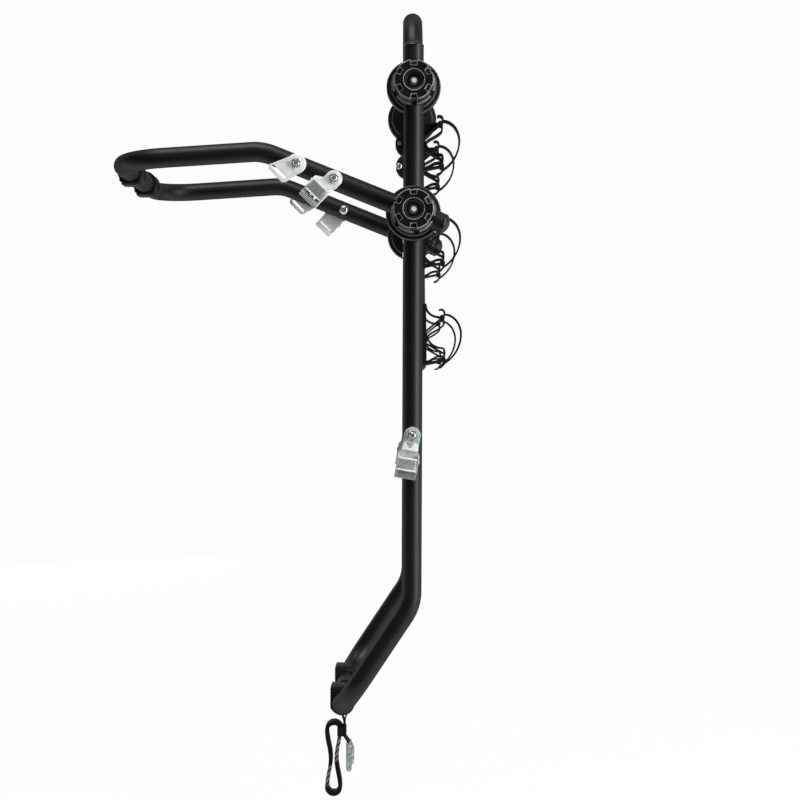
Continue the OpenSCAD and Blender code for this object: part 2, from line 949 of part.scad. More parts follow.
module slot_bracket(far) {
    round_r = 14;
    half = webbing_w / 2 + 4.5;
    corner = 4;
    color(zinc)
        on_far(far)
            hardware_at(bolt_place[1], support_y, bracket_turn)
                difference() {
                    linear_extrude(plate_t) {
                        circle(round_r);
                        polygon([
                            [-round_r, 0],
                            [round_r, 0],
                            [slot_shift + half, bracket_l - corner],
                            [slot_shift + half - corner, bracket_l],
                            [slot_shift + corner - half, bracket_l],
                            [slot_shift - half, bracket_l - corner]]);
                    }
                    translate([0, 0, -1])
                        cylinder(d = bolt_d + 2 * pin_gap, h = plate_t + 2);
                    translate([slot_shift - webbing_w / 2 - 0.5, bracket_l - slot_rim - slot_h, -1])
                        cube([webbing_w + 1, slot_h, plate_t + 2]);
                }
}

// A bolt with its round head against the inside of the tube, and its nut over the plate
nut_seat = plate_t + turn_gap;
module bracket_bolt() {
    head_seat = -plate_seat - tube_r;
    translate([0, 0, head_seat - seat_gap])
        mirror([0, 0, 1]) pan_head(head_d, head_h);
    translate([0, 0, head_seat - 1])
        cylinder(d = bolt_d, h = nut_seat + nut_h + 3 - head_seat);
}

module bracket_nut() {
    translate([0, 0, nut_seat])
        difference() {
            cylinder(d = nut_af / cos(30), h = nut_h, $fn = 6);
            translate([0, 0, -1])
                cylinder(d = bolt_d + seat_gap, h = nut_h + 2);
        }
}

module leg_buckle_bolts() {
    color(zinc)
        for_both()
            hardware_at(leg_bolt_place, leg_y, leg_buckle_turn)
                bracket_bolt();
}

module leg_buckle_nuts() {
    color(zinc)
        for_both()
            hardware_at(leg_bolt_place, leg_y, leg_buckle_turn)
                bracket_nut();
}

module support_bracket_bolts() {
    color(zinc)
        for_both()
            for (place = bolt_place)
                hardware_at(place, support_y, buckle_turn)
                    bracket_bolt();
}

module support_bracket_nuts() {
    color(zinc)
        for_both()
            for (place = bolt_place)
                hardware_at(place, support_y, buckle_turn)
                    bracket_nut();
}

// Bottom strap

// A loop of webbing round a bar of radius r that closes at a point drop below it
module teardrop(r, drop) {
    half = acos(r / drop);
    circle(r);
    polygon([
        r * [sin(half), -cos(half)],
        [0, -drop],
        r * [-sin(half), -cos(half)]]);
}

module strap_lead() {
    inner = tube_r + turn_gap;
    color(webbing_black)
        rotate([90, 0, 0])
            linear_extrude(webbing_w, center = true)
                difference() {
                    union() {
                        translate([bar_x, 0])
                            teardrop(inner + webbing_t, lead_drop + webbing_t);
                        band([[bar_x, -lead_drop], lead_kink, buckle_bar + [-1, 3]], lead_t);
                        translate(buckle_bar)
                            circle(pin_d / 2 + turn_gap + webbing_t);
                    }
                    translate([bar_x, 0])
                        teardrop(inner, lead_drop - webbing_t);
                    translate(buckle_bar)
                        circle(pin_d / 2 + turn_gap);
                }
}

// The hank's band: a spiral of dog-bone loops, turn 0 outermost at the right leg's top
end_r = hank_w / 2 - hank_pitch - webbing_t / 2;
hank_mid = hank_top - hank_h / 2;
straight = hank_h - hank_w;
function waist(z) = end_r - (end_r - hank_waist) * (1 - cos(360 * (z / straight + 0.5))) / 2;
function hank_point(turn) =
    let (
        off = hank_pitch * (hank_turns / 2 - turn),
        s = 4 * (turn - floor(turn)),
        q = floor(s),
        f = s - q,
        a = 180 * f,
        z = straight * (f - 0.5))
    q == 0 ? [(end_r + off) * cos(a), straight / 2 + (end_r + off) * sin(a)]
    : q == 1 ? [-waist(z) - off, -z]
    : q == 2 ? [-(end_r + off) * cos(a), -straight / 2 - (end_r + off) * sin(a)]
    : [waist(z) + off, z];
hank_line = [for (i = [0:ceil(hank_turns * hank_rings)])
    hank_point(min(i / hank_rings, hank_turns))];
hank_gap = min([
    for (i = [0:len(hank_line) - 1], j = [i + hank_rings / 2:1:len(hank_line) - 1])
        norm(hank_line[i] - hank_line[j])]) - webbing_t;
echo(hank_gap = hank_gap);

// A flat band w wide swept along a line in the XZ plane
module flat_band(line, w, t) {
    n = len(line);
    points = [for (i = [0:n - 1], c = [[1, 1], [-1, 1], [-1, -1], [1, -1]])
        let (p = beside(line, i, c.x * t / 2)) [p.x, c.y * w / 2, p.y]];
    sides = [for (i = [0:n - 2], k = [0:3])
        let (a = 4 * i + k, b = 4 * i + (k + 1) % 4)
            each [[a, a + 4, b + 4], [a, b + 4, b]]];
    ends = [[0, 1, 2], [0, 2, 3], [4 * n - 1, 4 * n - 2, 4 * n - 3], [4 * n - 1, 4 * n - 3, 4 * n - 4]];
    polyhedron(points, concat(sides, ends));
}

module strap_hank() {
    color(webbing_black)
        translate([hank_x, 0, hank_mid])
            flat_band(hank_line, webbing_w, webbing_t);
}

// A flat ring of webbing that holds the hank to the lead
module strap_keeper() {
    low = keeper_z[0] - hank_mid;
    layer = waist(low) + hank_pitch * (hank_turns / 2 - 2);
    left = hank_x + layer - webbing_t / 2 - turn_gap;
    right = bar_x + lead_t / 2 + turn_gap;
    room_y = webbing_w + 2 * turn_gap;
    color(webbing_black)
        difference() {
            translate([left - keeper_t, -room_y / 2 - keeper_t, keeper_z[0]])
                cube([right - left + 2 * keeper_t, room_y + 2 * keeper_t, keeper_z[1] - keeper_z[0]]);
            translate([left, -room_y / 2, keeper_z[0] - 1])
                cube([right - left, room_y, keeper_z[1] - keeper_z[0] + 2]);
        }
}

// The strap's own buckle hangs from a bar between its ears, its lever towards +X
bar_z = 5;
module strap_buckle_at() {
    translate([buckle_bar.x - bar_z, 0, buckle_bar.y])
        rotate([0, 90, 0])
            rotate([0, 0, -90])
                children();
}

module strap_buckle_frame() {
    ear_start = -4;
    color(zinc)
        strap_buckle_at()
            difference() {
                translate([0, 5, 0])
                    buckle_body(ear_start - 5);
                translate([-buckle_w, 0, bar_z])
                    rotate([0, 90, 0])
                        cylinder(d = pin_d + 2 * seat_gap, h = 2 * buckle_w);
            }
}

module strap_buckle_pin() {
    color(zinc)
        strap_buckle_at() {
            translate([0, 5, 0])
                buckle_pin();
            translate([0, -pin_y, bar_z - pin_z])
                buckle_pin();
        }
}

module strap_buckle_lever() {
    color(zinc)
        strap_buckle_at()
            translate([0, 5, 0])
                cam_lever();
}

main_frame_tube();
leg_end_caps();
lower_foot(false);  // lower_foot_near
lower_foot(true);  // lower_foot_far
top_disc_outer(false);  // top_disc_outer_near
top_disc_outer(true);  // top_disc_outer_far
mid_disc_inner(false);  // mid_disc_inner_near
mid_disc_inner(true);  // mid_disc_inner_far
top_saddle_washers();
hub_bolts();
leg_buckle_bolts();
leg_buckle_nuts();
strap_lead();
strap_hank();
strap_keeper();
strap_buckle_frame();
strap_buckle_pin();
strap_buckle_lever();
support_frame_tube();
support_end_caps();
upper_foot(false);  // upper_foot_near
upper_foot(true);  // upper_foot_far
mid_disc_outer(false);  // mid_disc_outer_near
mid_disc_outer(true);  // mid_disc_outer_far
mid_saddle_washers();
support_bracket_bolts();
support_bracket_nuts();
bike_arm_tube();
bike_arm_end_caps();
top_disc_inner(false);  // top_disc_inner_near
top_disc_inner(true);  // top_disc_inner_far
cradle(1, false);  // cradle_1_near
cradle(2, false);  // cradle_2_near
cradle(3, false);  // cradle_3_near
cradle(1, true);  // cradle_1_far
cradle(2, true);  // cradle_2_far
cradle(3, true);  // cradle_3_far
cradle_strap(1, false);  // cradle_strap_1_near
cradle_strap(2, false);  // cradle_strap_2_near
cradle_strap(3, false);  // cradle_strap_3_near
cradle_strap(1, true);  // cradle_strap_1_far
cradle_strap(2, true);  // cradle_strap_2_far
cradle_strap(3, true);  // cradle_strap_3_far
cradle_fasteners();
top_knob(false);  // top_knob_near
top_knob(true);  // top_knob_far
mid_knob(false);  // mid_knob_near
mid_knob(true);  // mid_knob_far
leg_buckle(false);  // leg_buckle_near
leg_buckle(true);  // leg_buckle_far
leg_lever(false);  // leg_lever_near
leg_lever(true);  // leg_lever_far
support_buckle(false);  // support_buckle_near
support_buckle(true);  // support_buckle_far
support_lever(false);  // support_lever_near
support_lever(true);  // support_lever_far
slot_bracket(false);  // slot_bracket_near
slot_bracket(true);  // slot_bracket_far
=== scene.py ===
# %% [markdown]
# A trunk mounted bike rack, folded as it is shipped: three bent tubes, four clamping hubs, rubber feet and
# cradles, zinc plated strap hardware and one folded strap. The solids arrive as a fixed frame. This lesson
# dresses them: some solids are copied and get soft edges, others are made again with more detail.

# %% Load the frame
import json
import math

import bmesh
import bpy
from mathutils import Matrix, Vector


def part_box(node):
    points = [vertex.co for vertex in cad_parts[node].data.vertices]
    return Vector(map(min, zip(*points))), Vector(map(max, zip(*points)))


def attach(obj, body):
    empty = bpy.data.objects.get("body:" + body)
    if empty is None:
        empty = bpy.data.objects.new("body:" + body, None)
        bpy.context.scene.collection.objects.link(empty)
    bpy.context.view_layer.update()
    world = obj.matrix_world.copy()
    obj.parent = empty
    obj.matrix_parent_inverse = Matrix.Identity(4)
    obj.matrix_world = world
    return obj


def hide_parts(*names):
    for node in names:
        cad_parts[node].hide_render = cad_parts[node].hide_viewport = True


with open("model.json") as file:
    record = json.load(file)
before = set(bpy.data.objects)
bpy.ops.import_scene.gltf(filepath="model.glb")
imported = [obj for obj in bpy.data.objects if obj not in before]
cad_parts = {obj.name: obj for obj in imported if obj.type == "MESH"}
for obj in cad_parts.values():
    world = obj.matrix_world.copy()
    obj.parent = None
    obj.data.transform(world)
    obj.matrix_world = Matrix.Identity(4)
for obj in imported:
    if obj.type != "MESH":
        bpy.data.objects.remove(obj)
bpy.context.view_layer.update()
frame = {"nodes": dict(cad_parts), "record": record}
MM = 0.001

# %% [markdown]
# The photograph was taken from the side with a long lens, level with the middle of the rack. The near and
# far tubes give the distance: the near leg is drawn a tenth larger than the far one.

# %% Camera
eye, tilt, roll = (101.5, -2542, 473.2), 0.55, 0.23
lens = bpy.data.cameras.new("long_lens")
lens.lens = 73.95
lens.sensor_width = 36
camera = bpy.data.objects.new("camera", lens)
bpy.context.scene.collection.objects.link(camera)
camera.matrix_world = (
    Matrix.Translation(Vector(eye) * MM)
    @ Matrix.Rotation(math.radians(90 - tilt), 4, "X")
    @ Matrix.Rotation(math.radians(roll), 4, "Z"))
bpy.context.scene.camera = camera
bpy.context.scene.view_settings.view_transform = "Standard"
print("camera at", tuple(camera.location))

# %% [markdown]
# Every tree of nodes in this lesson, for a surface or for a shape, is built with one small function. It adds a
# node, sets its options and feeds its sockets with values or with other nodes' outputs.

# %% One function for all nodes
def add(tree, kind, feeds=None, **settings):
    made = tree.nodes.new(kind)
    for option, value in settings.items():
        setattr(made, option, value)
    for socket, value in (feeds or {}).items():
        if isinstance(value, bpy.types.NodeSocket):
            tree.links.new(value, made.inputs[socket])
        else:
            made.inputs[socket].default_value = value
    return made


def linear(code):
    """An sRGB hex colour as linear red, green, blue and alpha."""
    parts = [int(code[i:i + 2], 16) / 255 for i in (1, 3, 5)]
    return [c / 12.92 if c <= 0.04045 else ((c + 0.055) / 1.055) ** 2.4 for c in parts] + [1]


def surface(name):
    """A new material, its tree, its shader and the object coordinates in metres."""
    made = bpy.data.materials.new(name)
    made.use_nodes = True
    tree = made.node_tree
    shader = tree.nodes["Principled BSDF"]
    place = add(tree, "ShaderNodeTexCoord").outputs["Object"]
    return made, tree, shader, place


# %% [markdown]
# All finishes on the rack are noise at some size in millimetres, mixed colours, a little relief and a gloss that
# varies. These helpers say so in one line each. The black finishes also grow duller towards their outline,
# where a fine grain shades its own gloss; without that, a white studio would wash out the edges of the tubes.

# %% Helpers for finishes
def spots(tree, place, size, detail, roughness=0.5):
    """Soft noise with spots of about a size in millimetres."""
    return add(tree, "ShaderNodeTexNoise", {
        "Vector": place, "Scale": 1 / (size * MM), "Detail": detail, "Roughness": roughness}).outputs["Fac"]


def attribute(tree, name):
    return add(tree, "ShaderNodeAttribute", attribute_name=name).outputs["Fac"]


def times(tree, a, b):
    return add(tree, "ShaderNodeMath", {0: a, 1: b}, operation="MULTIPLY").outputs["Value"]


def blended(tree, factor, start, end):
    """A colour between two, each given as a hex code or as another node's output."""
    start, end = (linear(colour) if isinstance(colour, str) else colour for colour in (start, end))
    return add(tree, "ShaderNodeMix", {"Factor": factor, 6: start, 7: end}, data_type="RGBA").outputs[2]


def relief(tree, shader, height, strength, depth):
    """Presses a pattern into a finish, to a depth in millimetres."""
    bump = add(tree, "ShaderNodeBump", {"Height": height, "Strength": strength, "Distance": depth * MM})
    tree.links.new(bump.outputs["Normal"], shader.inputs["Normal"])


def gloss(tree, shader, pattern, smooth, rough, outline=None):
    """Varies the roughness with a pattern, and lets it rise to another value towards the outline."""
    level = add(tree, "ShaderNodeMapRange", {"Value": pattern, "To Min": smooth, "To Max": rough}).outputs["Result"]
    if outline:
        facing = add(tree, "ShaderNodeLayerWeight", {"Blend": 0.5}).outputs["Facing"]
        graze = add(tree, "ShaderNodeMapRange", {"Value": facing, "From Min": 0.4, "From Max": 0.8})
        level = add(tree, "ShaderNodeMix", {"Factor": graze.outputs["Result"], "A": level, "B": outline},
                    data_type="FLOAT").outputs["Result"]
    tree.links.new(level, shader.inputs["Roughness"])


# %% [markdown]
# Satin powder coat: polyester powder baked on steel tube. It is nearly black, it gives a broad soft highlight,
# and close to it has the faint orange peel of melted powder, about a millimetre across.

# %% Satin powder coat
powder_coat, tree, shader, place = surface("satin_powder_coat")
cloud = spots(tree, place, 25, 4)
tree.links.new(blended(tree, cloud, "#060607", "#0a0a0b"), shader.inputs["Base Color"])
gloss(tree, shader, cloud, 0.44, 0.5, outline=0.95)
relief(tree, shader, spots(tree, place, 1.1, 2), 0.12, 0.04)
shader.inputs["Specular IOR Level"].default_value = 0.34

# %% [markdown]
# Glass filled nylon: the knobs, discs and caps are injection moulded. The mould was spark eroded, so the skin
# has a fine even grain. Sharp edges and slanted chamfers are painted a little paler: a painted highlight.

# %% Moulded nylon
nylon, tree, shader, place = surface("moulded_nylon")
cloud = spots(tree, place, 9, 3)
# Painted highlight: marked edges mix towards near white, in patches of the noise.
highlight_paint = times(tree, attribute(tree, "rub"), cloud)
shade = blended(tree, cloud, "#060607", "#0c0c0d")
tree.links.new(blended(tree, highlight_paint, shade, "#eaeaec"), shader.inputs["Base Color"])
grain = add(tree, "ShaderNodeTexVoronoi", {"Vector": place, "Scale": 1 / (0.7 * MM)})
relief(tree, shader, grain.outputs["Distance"], 0.22, 0.05)
gloss(tree, shader, cloud, 0.26, 0.36, outline=0.75)
shader.inputs["Specular IOR Level"].default_value = 0.46

# %% [markdown]
# Moulded rubber: feet, cradles and their straps. It is duller than the nylon, with a dusty bloom in patches
# and a fine pitted skin. Its sharp edges get a faint painted highlight in the bloom's patches.

# %% Moulded rubber
rubber, tree, shader, place = surface("moulded_rubber")
bloom = spots(tree, place, 14, 5, 0.65)
# Painted highlight: marked edges mix towards a paler grey, in the bloom's patches.
highlight_paint = times(tree, attribute(tree, "rub"), bloom)
shade = blended(tree, bloom, "#070707", "#101010")
tree.links.new(blended(tree, highlight_paint, shade, "#2a2a2b"), shader.inputs["Base Color"])
relief(tree, shader, spots(tree, place, 0.8, 3), 0.3, 0.06)
gloss(tree, shader, bloom, 0.72, 0.88)
shader.inputs["Specular IOR Level"].default_value = 0.2

# %% [markdown]
# Zinc plated steel comes in seven finishes here. Stamped plates are pale with a cool, slightly green cast and
# cloudy spots from handling. Bolts and nuts are turned and barrel plated, so they are brighter mirrors. The
# levers are knurled and look darker, and those on the legs are a paler neutral grey, painted light against the
# shade they sit in. The strap's own buckle is dull from handling, the buckles on the legs have a greener
# passivated plate, and the rollers are painted darkest, painted shade where they lie under the levers. One
# recipe serves all seven: rolling lines, clouds and pale painted highlights on the edges.

# %% Zinc plate, bolts and levers
zincs, handling = {}, 0.2
for name, dark, light, highlight_paint, metal, smooth in (
        ("zinc_plated_plate", "#dde4e1", "#ffffff", "#ffffff", 0.3, 0.24),
        ("zinc_plated_bolt", "#b4bfbc", "#f6faf8", "#ffffff", 0.9, 0.13),
        ("knurled_zinc_lever", "#9aa09e", "#c4c9c7", "#ffffff", 0.7, 0.3),
        ("dull_zinc_stamping", "#74817d", "#b0bcb8", "#eef4f1", 0.65, 0.32),
        ("passivated_zinc_plate", "#a9b6b2", "#dbe3e0", "#ffffff", 0.5, 0.28),
        # Darkest finish for the roller sleeves: painted shade under the levers.
        ("fluted_zinc_roller", "#4b504e", "#8a908e", "#e8eeeb", 0.75, 0.26),
        # Paler lever finish for the legs: painted light against the shade they sit in.
        ("pale_zinc_lever", "#a3a4a5", "#d4d5d6", "#ffffff", 0.5, 0.28)):
    zincs[name], tree, shader, place = surface(name)
    cloud = spots(tree, place, 9, 5)
    shade = blended(tree, cloud, dark, light)
    # Marked edges mix towards the last colour: a painted highlight.
    tree.links.new(blended(tree, attribute(tree, "rub"), shade, highlight_paint), shader.inputs["Base Color"])
    lines = add(tree, "ShaderNodeMapping", {"Vector": place, "Scale": (1, 1, 14)})
    relief(tree, shader, spots(tree, lines.outputs["Vector"], 2.4, 3), 0.12, 0.04)
    gloss(tree, shader, cloud, smooth, smooth + handling)
    shader.inputs["Metallic"].default_value = metal
zinc, bolt_zinc, lever_zinc, dull_zinc, leg_zinc, roller_zinc_painted_shade, lever_zinc_painted_light = zincs.values()

# %% [markdown]
# Woven polyester webbing, 25 mm wide: warp threads run along the strap in a herringbone that the eye reads as
# slanted ribs. The pattern follows the strap, so it reads the strap's own UV map, which is in metres.

# %% Polyester webbing
waves_per_unit = 3.18


def bands(tree, place, spacing, distortion, detail=2, axis="X"):
    """Soft stripes that repeat after a spacing in millimetres."""
    return add(tree, "ShaderNodeTexWave", {
        "Vector": place, "Scale": 1 / (spacing * MM) / waves_per_unit, "Distortion": distortion, "Detail": detail},
        bands_direction=axis).outputs["Fac"]


webbing, tree, shader, place = surface("polyester_webbing")
along = add(tree, "ShaderNodeTexCoord").outputs["UV"]
ribs = add(tree, "ShaderNodeMapping", {"Vector": along, "Rotation": (0, 0, math.radians(38))})
weave = times(tree, bands(tree, ribs.outputs["Vector"], 4.3467, 0.6, detail=1), bands(tree, along, 1.7782, 0.3))
shade = blended(tree, weave, "#030304", "#0f0f11")
# Painted highlight: slanted pale stripes on the hank's selvedges, where its glint attribute is set.
slant = add(tree, "ShaderNodeMapping", {"Vector": place, "Rotation": (0, math.radians(48), 0)})
stripes = bands(tree, slant.outputs["Vector"], 5.6, 0.4, axis="Z")
painted_shine = times(tree, stripes, attribute(tree, "glint"))
tree.links.new(blended(tree, painted_shine, shade, "#747476"), shader.inputs["Base Color"])
relief(tree, shader, weave, 0.6, 0.2)
shader.inputs["Roughness"].default_value = 0.8
shader.inputs["Specular IOR Level"].default_value = 0.16
print("materials", [m.name for m in bpy.data.materials])

# %% [markdown]
# The rack hangs in a white studio. Camera, mirror and glass rays see a white floor and world; the rest of the
# light is soft. A tall light box on the right draws the long highlight down each tube, and another one behind
# does the same for the sides that face the vehicle.

# %% Studio
floor_share, backdrop_level, fill_level = 0.97, 0.985, 0.3
reach, front, low = 30, -0.7, -0.2


def white_rays(tree):
    """The rays that see the studio, and those of them that come from the camera."""
    rays = add(tree, "ShaderNodeLightPath").outputs
    seen = rays["Is Camera Ray"]
    for kind in ("Is Glossy Ray", "Is Transmission Ray"):
        seen = add(tree, "ShaderNodeMath", {0: seen, 1: rays[kind]}, operation="MAXIMUM").outputs["Value"]
    return seen, rays["Is Camera Ray"]


floor_mesh = bpy.data.meshes.new("floor")
floor_mesh.from_pydata(
    [(-reach, front, low), (reach, front, low), (reach, reach, low), (-reach, reach, low)], [], [(0, 1, 2, 3)])
floor = bpy.data.objects.new("floor", floor_mesh)
bpy.context.scene.collection.objects.link(floor)
paper, tree, shader, place = surface("white_paper")
shader.inputs["Base Color"].default_value = linear("#f4f4f4")
shader.inputs["Roughness"].default_value = 0.9
part_white = times(tree, white_rays(tree)[0], floor_share)
white = add(tree, "ShaderNodeEmission", {"Color": (1, 1, 1, 1), "Strength": 1})
mixed = add(tree, "ShaderNodeMixShader", {0: part_white, 1: shader.outputs[0], 2: white.outputs[0]})
tree.links.new(mixed.outputs[0], tree.nodes["Material Output"].inputs["Surface"])
floor_mesh.materials.append(paper)

# %% World
world = bpy.data.worlds.new("white_studio")
bpy.context.scene.world = world
world.use_nodes = True
tree = world.node_tree
seen, from_camera = white_rays(tree)
way = add(tree, "ShaderNodeSeparateXYZ", {"Vector": add(tree, "ShaderNodeTexCoord").outputs["Generated"]})
sweep = add(tree, "ShaderNodeMapRange", {
    "Value": way.outputs["Y"], "From Min": 0.2, "From Max": 0.9, "To Min": 0.05, "To Max": 1})
level = add(tree, "ShaderNodeMix", {
    "Factor": from_camera, "A": sweep.outputs["Result"], "B": backdrop_level}, data_type="FLOAT")
level = add(tree, "ShaderNodeMix", {
    "Factor": seen, "A": fill_level, "B": level.outputs["Result"]}, data_type="FLOAT")
tree.links.new(level.outputs["Result"], tree.nodes["Background"].inputs["Strength"])
tree.nodes["Background"].inputs["Color"].default_value = (1, 1, 1, 1)


def light_box(name, place, aim, width, height, watts):
    """A soft lamp that looks at a point, with all lengths in metres."""
    lamp = bpy.data.lights.new(name, "AREA")
    lamp.shape = "RECTANGLE"
    lamp.size, lamp.size_y, lamp.energy = width, height, watts
    made = bpy.data.objects.new(name, lamp)
    bpy.context.scene.collection.objects.link(made)
    made.location = Vector(place)
    made.rotation_euler = (Vector(aim) - Vector(place)).to_track_quat("-Z", "Y").to_euler()


light_box("tall_box_right", (2.0, -1.4, 0.8), (0.1, 0, 0.5), 1.2, 2.4, 76)
light_box("top_box", (-0.3, -0.9, 2.9), (-0.05, 0, 0.6), 1.6, 0.9, 42)
light_box("tall_box_behind", (-1.5, 3.2, 1.1), (0.1, 0, 0.5), 2.4, 2.6, 28)
print("lamps", [lamp.name for lamp in bpy.data.lights])

# %% [markdown]
# The solids come as loose triangles. A softened copy merges them, joins the flat ones, rounds every sharp edge
# by a fraction of a millimetre and shades the rest smooth, which is what makes moulded and stamped pieces look
# made rather than drawn.

# %% Pieces and their edges
def piece(name, mesh, finish, body, stands_for=()):
    """Links a finished mesh as a piece of the object that rides on a body."""
    made = bpy.data.objects.new(name, mesh)
    bpy.context.scene.collection.objects.link(made)
    mesh.materials.clear()
    mesh.materials.append(finish)
    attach(made, body)
    if stands_for:
        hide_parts(*stands_for)
    return made


body_of = {n: b for b, names in frame["record"]["behaviour"]["bodies"].items() for n in names}
slot_of = {s["node"]: s["material_slot"] for s in frame["record"]["subparts"]}


def finished(form, name, radius=0, sharp=32, rubbed=1, painted_chamfer_highlight=0, clamp=True):
    """Rounds the sharp edges of a form, marks them for a painted highlight, and returns it as a smooth mesh.

    Chamfers, the faces that slant to the rack's sides by about 45 degrees, have a painted highlight of their own.
    """
    # This face attribute marks where the finishes mix in a pale painted highlight: on the bevels and on slanted
    # chamfers.
    rub = form.faces.layers.float.new("rub")
    for face in form.faces:
        slanted = 0.6 < abs(face.normal.y) < 0.8
        face[rub] = painted_chamfer_highlight if slanted else 0
    if radius:
        edges = [e for e in form.edges if len(e.link_faces) == 2 and e.calc_face_angle() > math.radians(sharp)]
        cut = bmesh.ops.bevel(form, geom=edges, offset=radius * MM, segments=2, profile=0.5, affect="EDGES",
                              clamp_overlap=clamp)
        for face in cut["faces"]:
            face[rub] = rubbed
    mesh = bpy.data.meshes.new(name)
    form.to_mesh(mesh)
    form.free()
    mesh.shade_smooth()
    mesh.set_sharp_from_angle(angle=math.radians(38))
    return mesh


# %% Places and cuts
def moved(x, y, z):
    return Matrix.Translation(Vector((x, y, z)) * MM)


def turned(axis, degrees):
    return Matrix.Rotation(math.radians(degrees), 4, axis)


def slotted(form, low, high, place):
    """Cuts a box through a form, given by two corners in millimetres at a place."""
    forms = {"body": form, "cutter": bmesh.new()}
    middle = [(a + b) / 2 for a, b in zip(low, high)]
    span = Matrix.Diagonal([(b - a) * MM for a, b in zip(low, high)] + [1])
    bmesh.ops.create_cube(forms["cutter"], size=1, matrix=place @ moved(*middle) @ span)
    bmesh.ops.recalc_face_normals(forms["cutter"], faces=forms["cutter"].faces)
    holders = {}
    for name, shape in forms.items():
        mesh = bpy.data.meshes.new(name)
        shape.to_mesh(mesh)
        shape.free()
        holders[name] = bpy.data.objects.new(name, mesh)
        bpy.context.scene.collection.objects.link(holders[name])
    cut = holders["body"].modifiers.new("cut", "BOOLEAN")
    cut.object, cut.operation, cut.solver = holders["cutter"], "DIFFERENCE", "EXACT"
    bpy.context.view_layer.update()
    made = bmesh.new()
    made.from_mesh(holders["body"].evaluated_get(bpy.context.evaluated_depsgraph_get()).to_mesh())
    for holder in holders.values():
        bpy.data.objects.remove(holder)
    return made


# %% Softened copies of solids
def softened(node, finish, radius, rubbed, slot=None):
    """A dressed copy of a solid, with rounded edges and perhaps a slot that is cut first."""
    form = bmesh.new()
    form.from_mesh(frame["nodes"][node].data)
    bmesh.ops.remove_doubles(form, verts=form.verts, dist=0.004 * MM)
    if slot:
        form = slotted(form, *slot)
    bmesh.ops.dissolve_limit(form, angle_limit=math.radians(0.6), verts=form.verts, edges=form.edges)
    # Slanted faces of the saddle washers and discs get a painted highlight, strongest on the saddles.
    painted_chamfer_highlight = 0.22 if "saddle" in node else 0.08 if "disc" in node else 0
    mesh = finished(form, node + "_softened", radius, rubbed=rubbed, painted_chamfer_highlight=painted_chamfer_highlight)
    return piece(node + "_dressed", mesh, finish, body_of[node], [node])


dress = {"moulded": (nylon, 0.6), "rubber": (rubber, 0.6), "zinc_plate": (zinc, 0.35)}
frames = ("strap_buckle_frame", "support_buckle_near", "support_buckle_far", "leg_buckle_near", "leg_buckle_far")
remade = ("_tube", "_lead", "_hank", "_keeper", "_bolts", "_nuts", "_fasteners") + frames
for node in frame["nodes"]:
    if not node.endswith(remade) and "knob" not in node and "lever" not in node:
        finish, radius = dress[slot_of[node]]
        # Caps get no painted highlight on their edges; the other softened solids get it in full.
        made = softened(node, dull_zinc if node == "strap_buckle_pin" else finish, radius, 0 if "caps" in node else 1)
        print(node, len(made.data.polygons))

# %% [markdown]
# The three frames are lengths of round tube bent in one plane after another. A Geometry Nodes tree follows a
# line of corner points, rounds each corner to its bend radius and sweeps a circle along it, so each tube is
# smooth and has no seams.

# %% Trees that grow shapes
def geometry_tree(name, **sizes):
    """A new tree with a named input for each size, and its input and output nodes."""
    tree = bpy.data.node_groups.new(name, "GeometryNodeTree")
    tree.interface.new_socket("Geometry", in_out="INPUT", socket_type="NodeSocketGeometry")
    for size, value in sizes.items():
        kind = {int: "NodeSocketInt", float: "NodeSocketFloat"}.get(type(value), "NodeSocketMaterial")
        tree.interface.new_socket(size, in_out="INPUT", socket_type=kind)
    tree.interface.new_socket("Geometry", in_out="OUTPUT", socket_type="NodeSocketGeometry")
    return tree, add(tree, "NodeGroupInput").outputs, tree.nodes.new("NodeGroupOutput").inputs


def delivered(tree, sizes, out, geometry):
    """Ends a tree: its copies become real, get their finish and are handed over."""
    real = add(tree, "GeometryNodeRealizeInstances", {"Geometry": geometry})
    dressed = add(tree, "GeometryNodeSetMaterial", {"Geometry": real.outputs["Geometry"], "Material": sizes["finish"]})
    tree.links.new(dressed.outputs["Geometry"], out["Geometry"])


def grown(name, tree, base=None, **sizes):
    """Runs a tree, on a base mesh if it needs one, and returns the result as a plain mesh."""
    holder = bpy.data.objects.new(name, base or bpy.data.meshes.new(name + "_seed"))
    bpy.context.scene.collection.objects.link(holder)
    modifier = holder.modifiers.new("grow", "NODES")
    modifier.node_group = tree
    for socket in tree.interface.items_tree:
        if socket.in_out == "INPUT" and socket.name in sizes:
            modifier[socket.identifier] = sizes[socket.name]
    bpy.context.view_layer.update()
    mesh = bpy.data.meshes.new_from_object(holder.evaluated_get(bpy.context.evaluated_depsgraph_get()))
    bpy.data.objects.remove(holder)
    return mesh


# %% Bent tubes
tube_tree, sizes, out = geometry_tree("bent_tube", diameter=0.0, finish=powder_coat)
line = add(tube_tree, "GeometryNodeMeshToCurve", {"Mesh": sizes["Geometry"]})
bend_r = add(tube_tree, "GeometryNodeInputNamedAttribute", {"Name": "bend_radius"}, data_type="FLOAT")
rounded = add(tube_tree, "GeometryNodeFilletCurve", {
    "Curve": line.outputs["Curve"], "Count": 20, "Radius": bend_r.outputs["Attribute"]}, mode="POLY")
ring = add(tube_tree, "GeometryNodeCurvePrimitiveCircle", {
    "Resolution": 56, "Radius": times(tube_tree, sizes["diameter"], 0.5)})
swept = add(tube_tree, "GeometryNodeCurveToMesh", {
    "Curve": rounded.outputs["Curve"], "Profile Curve": ring.outputs["Curve"], "Fill Caps": True})
delivered(tube_tree, sizes, out, swept.outputs["Mesh"])


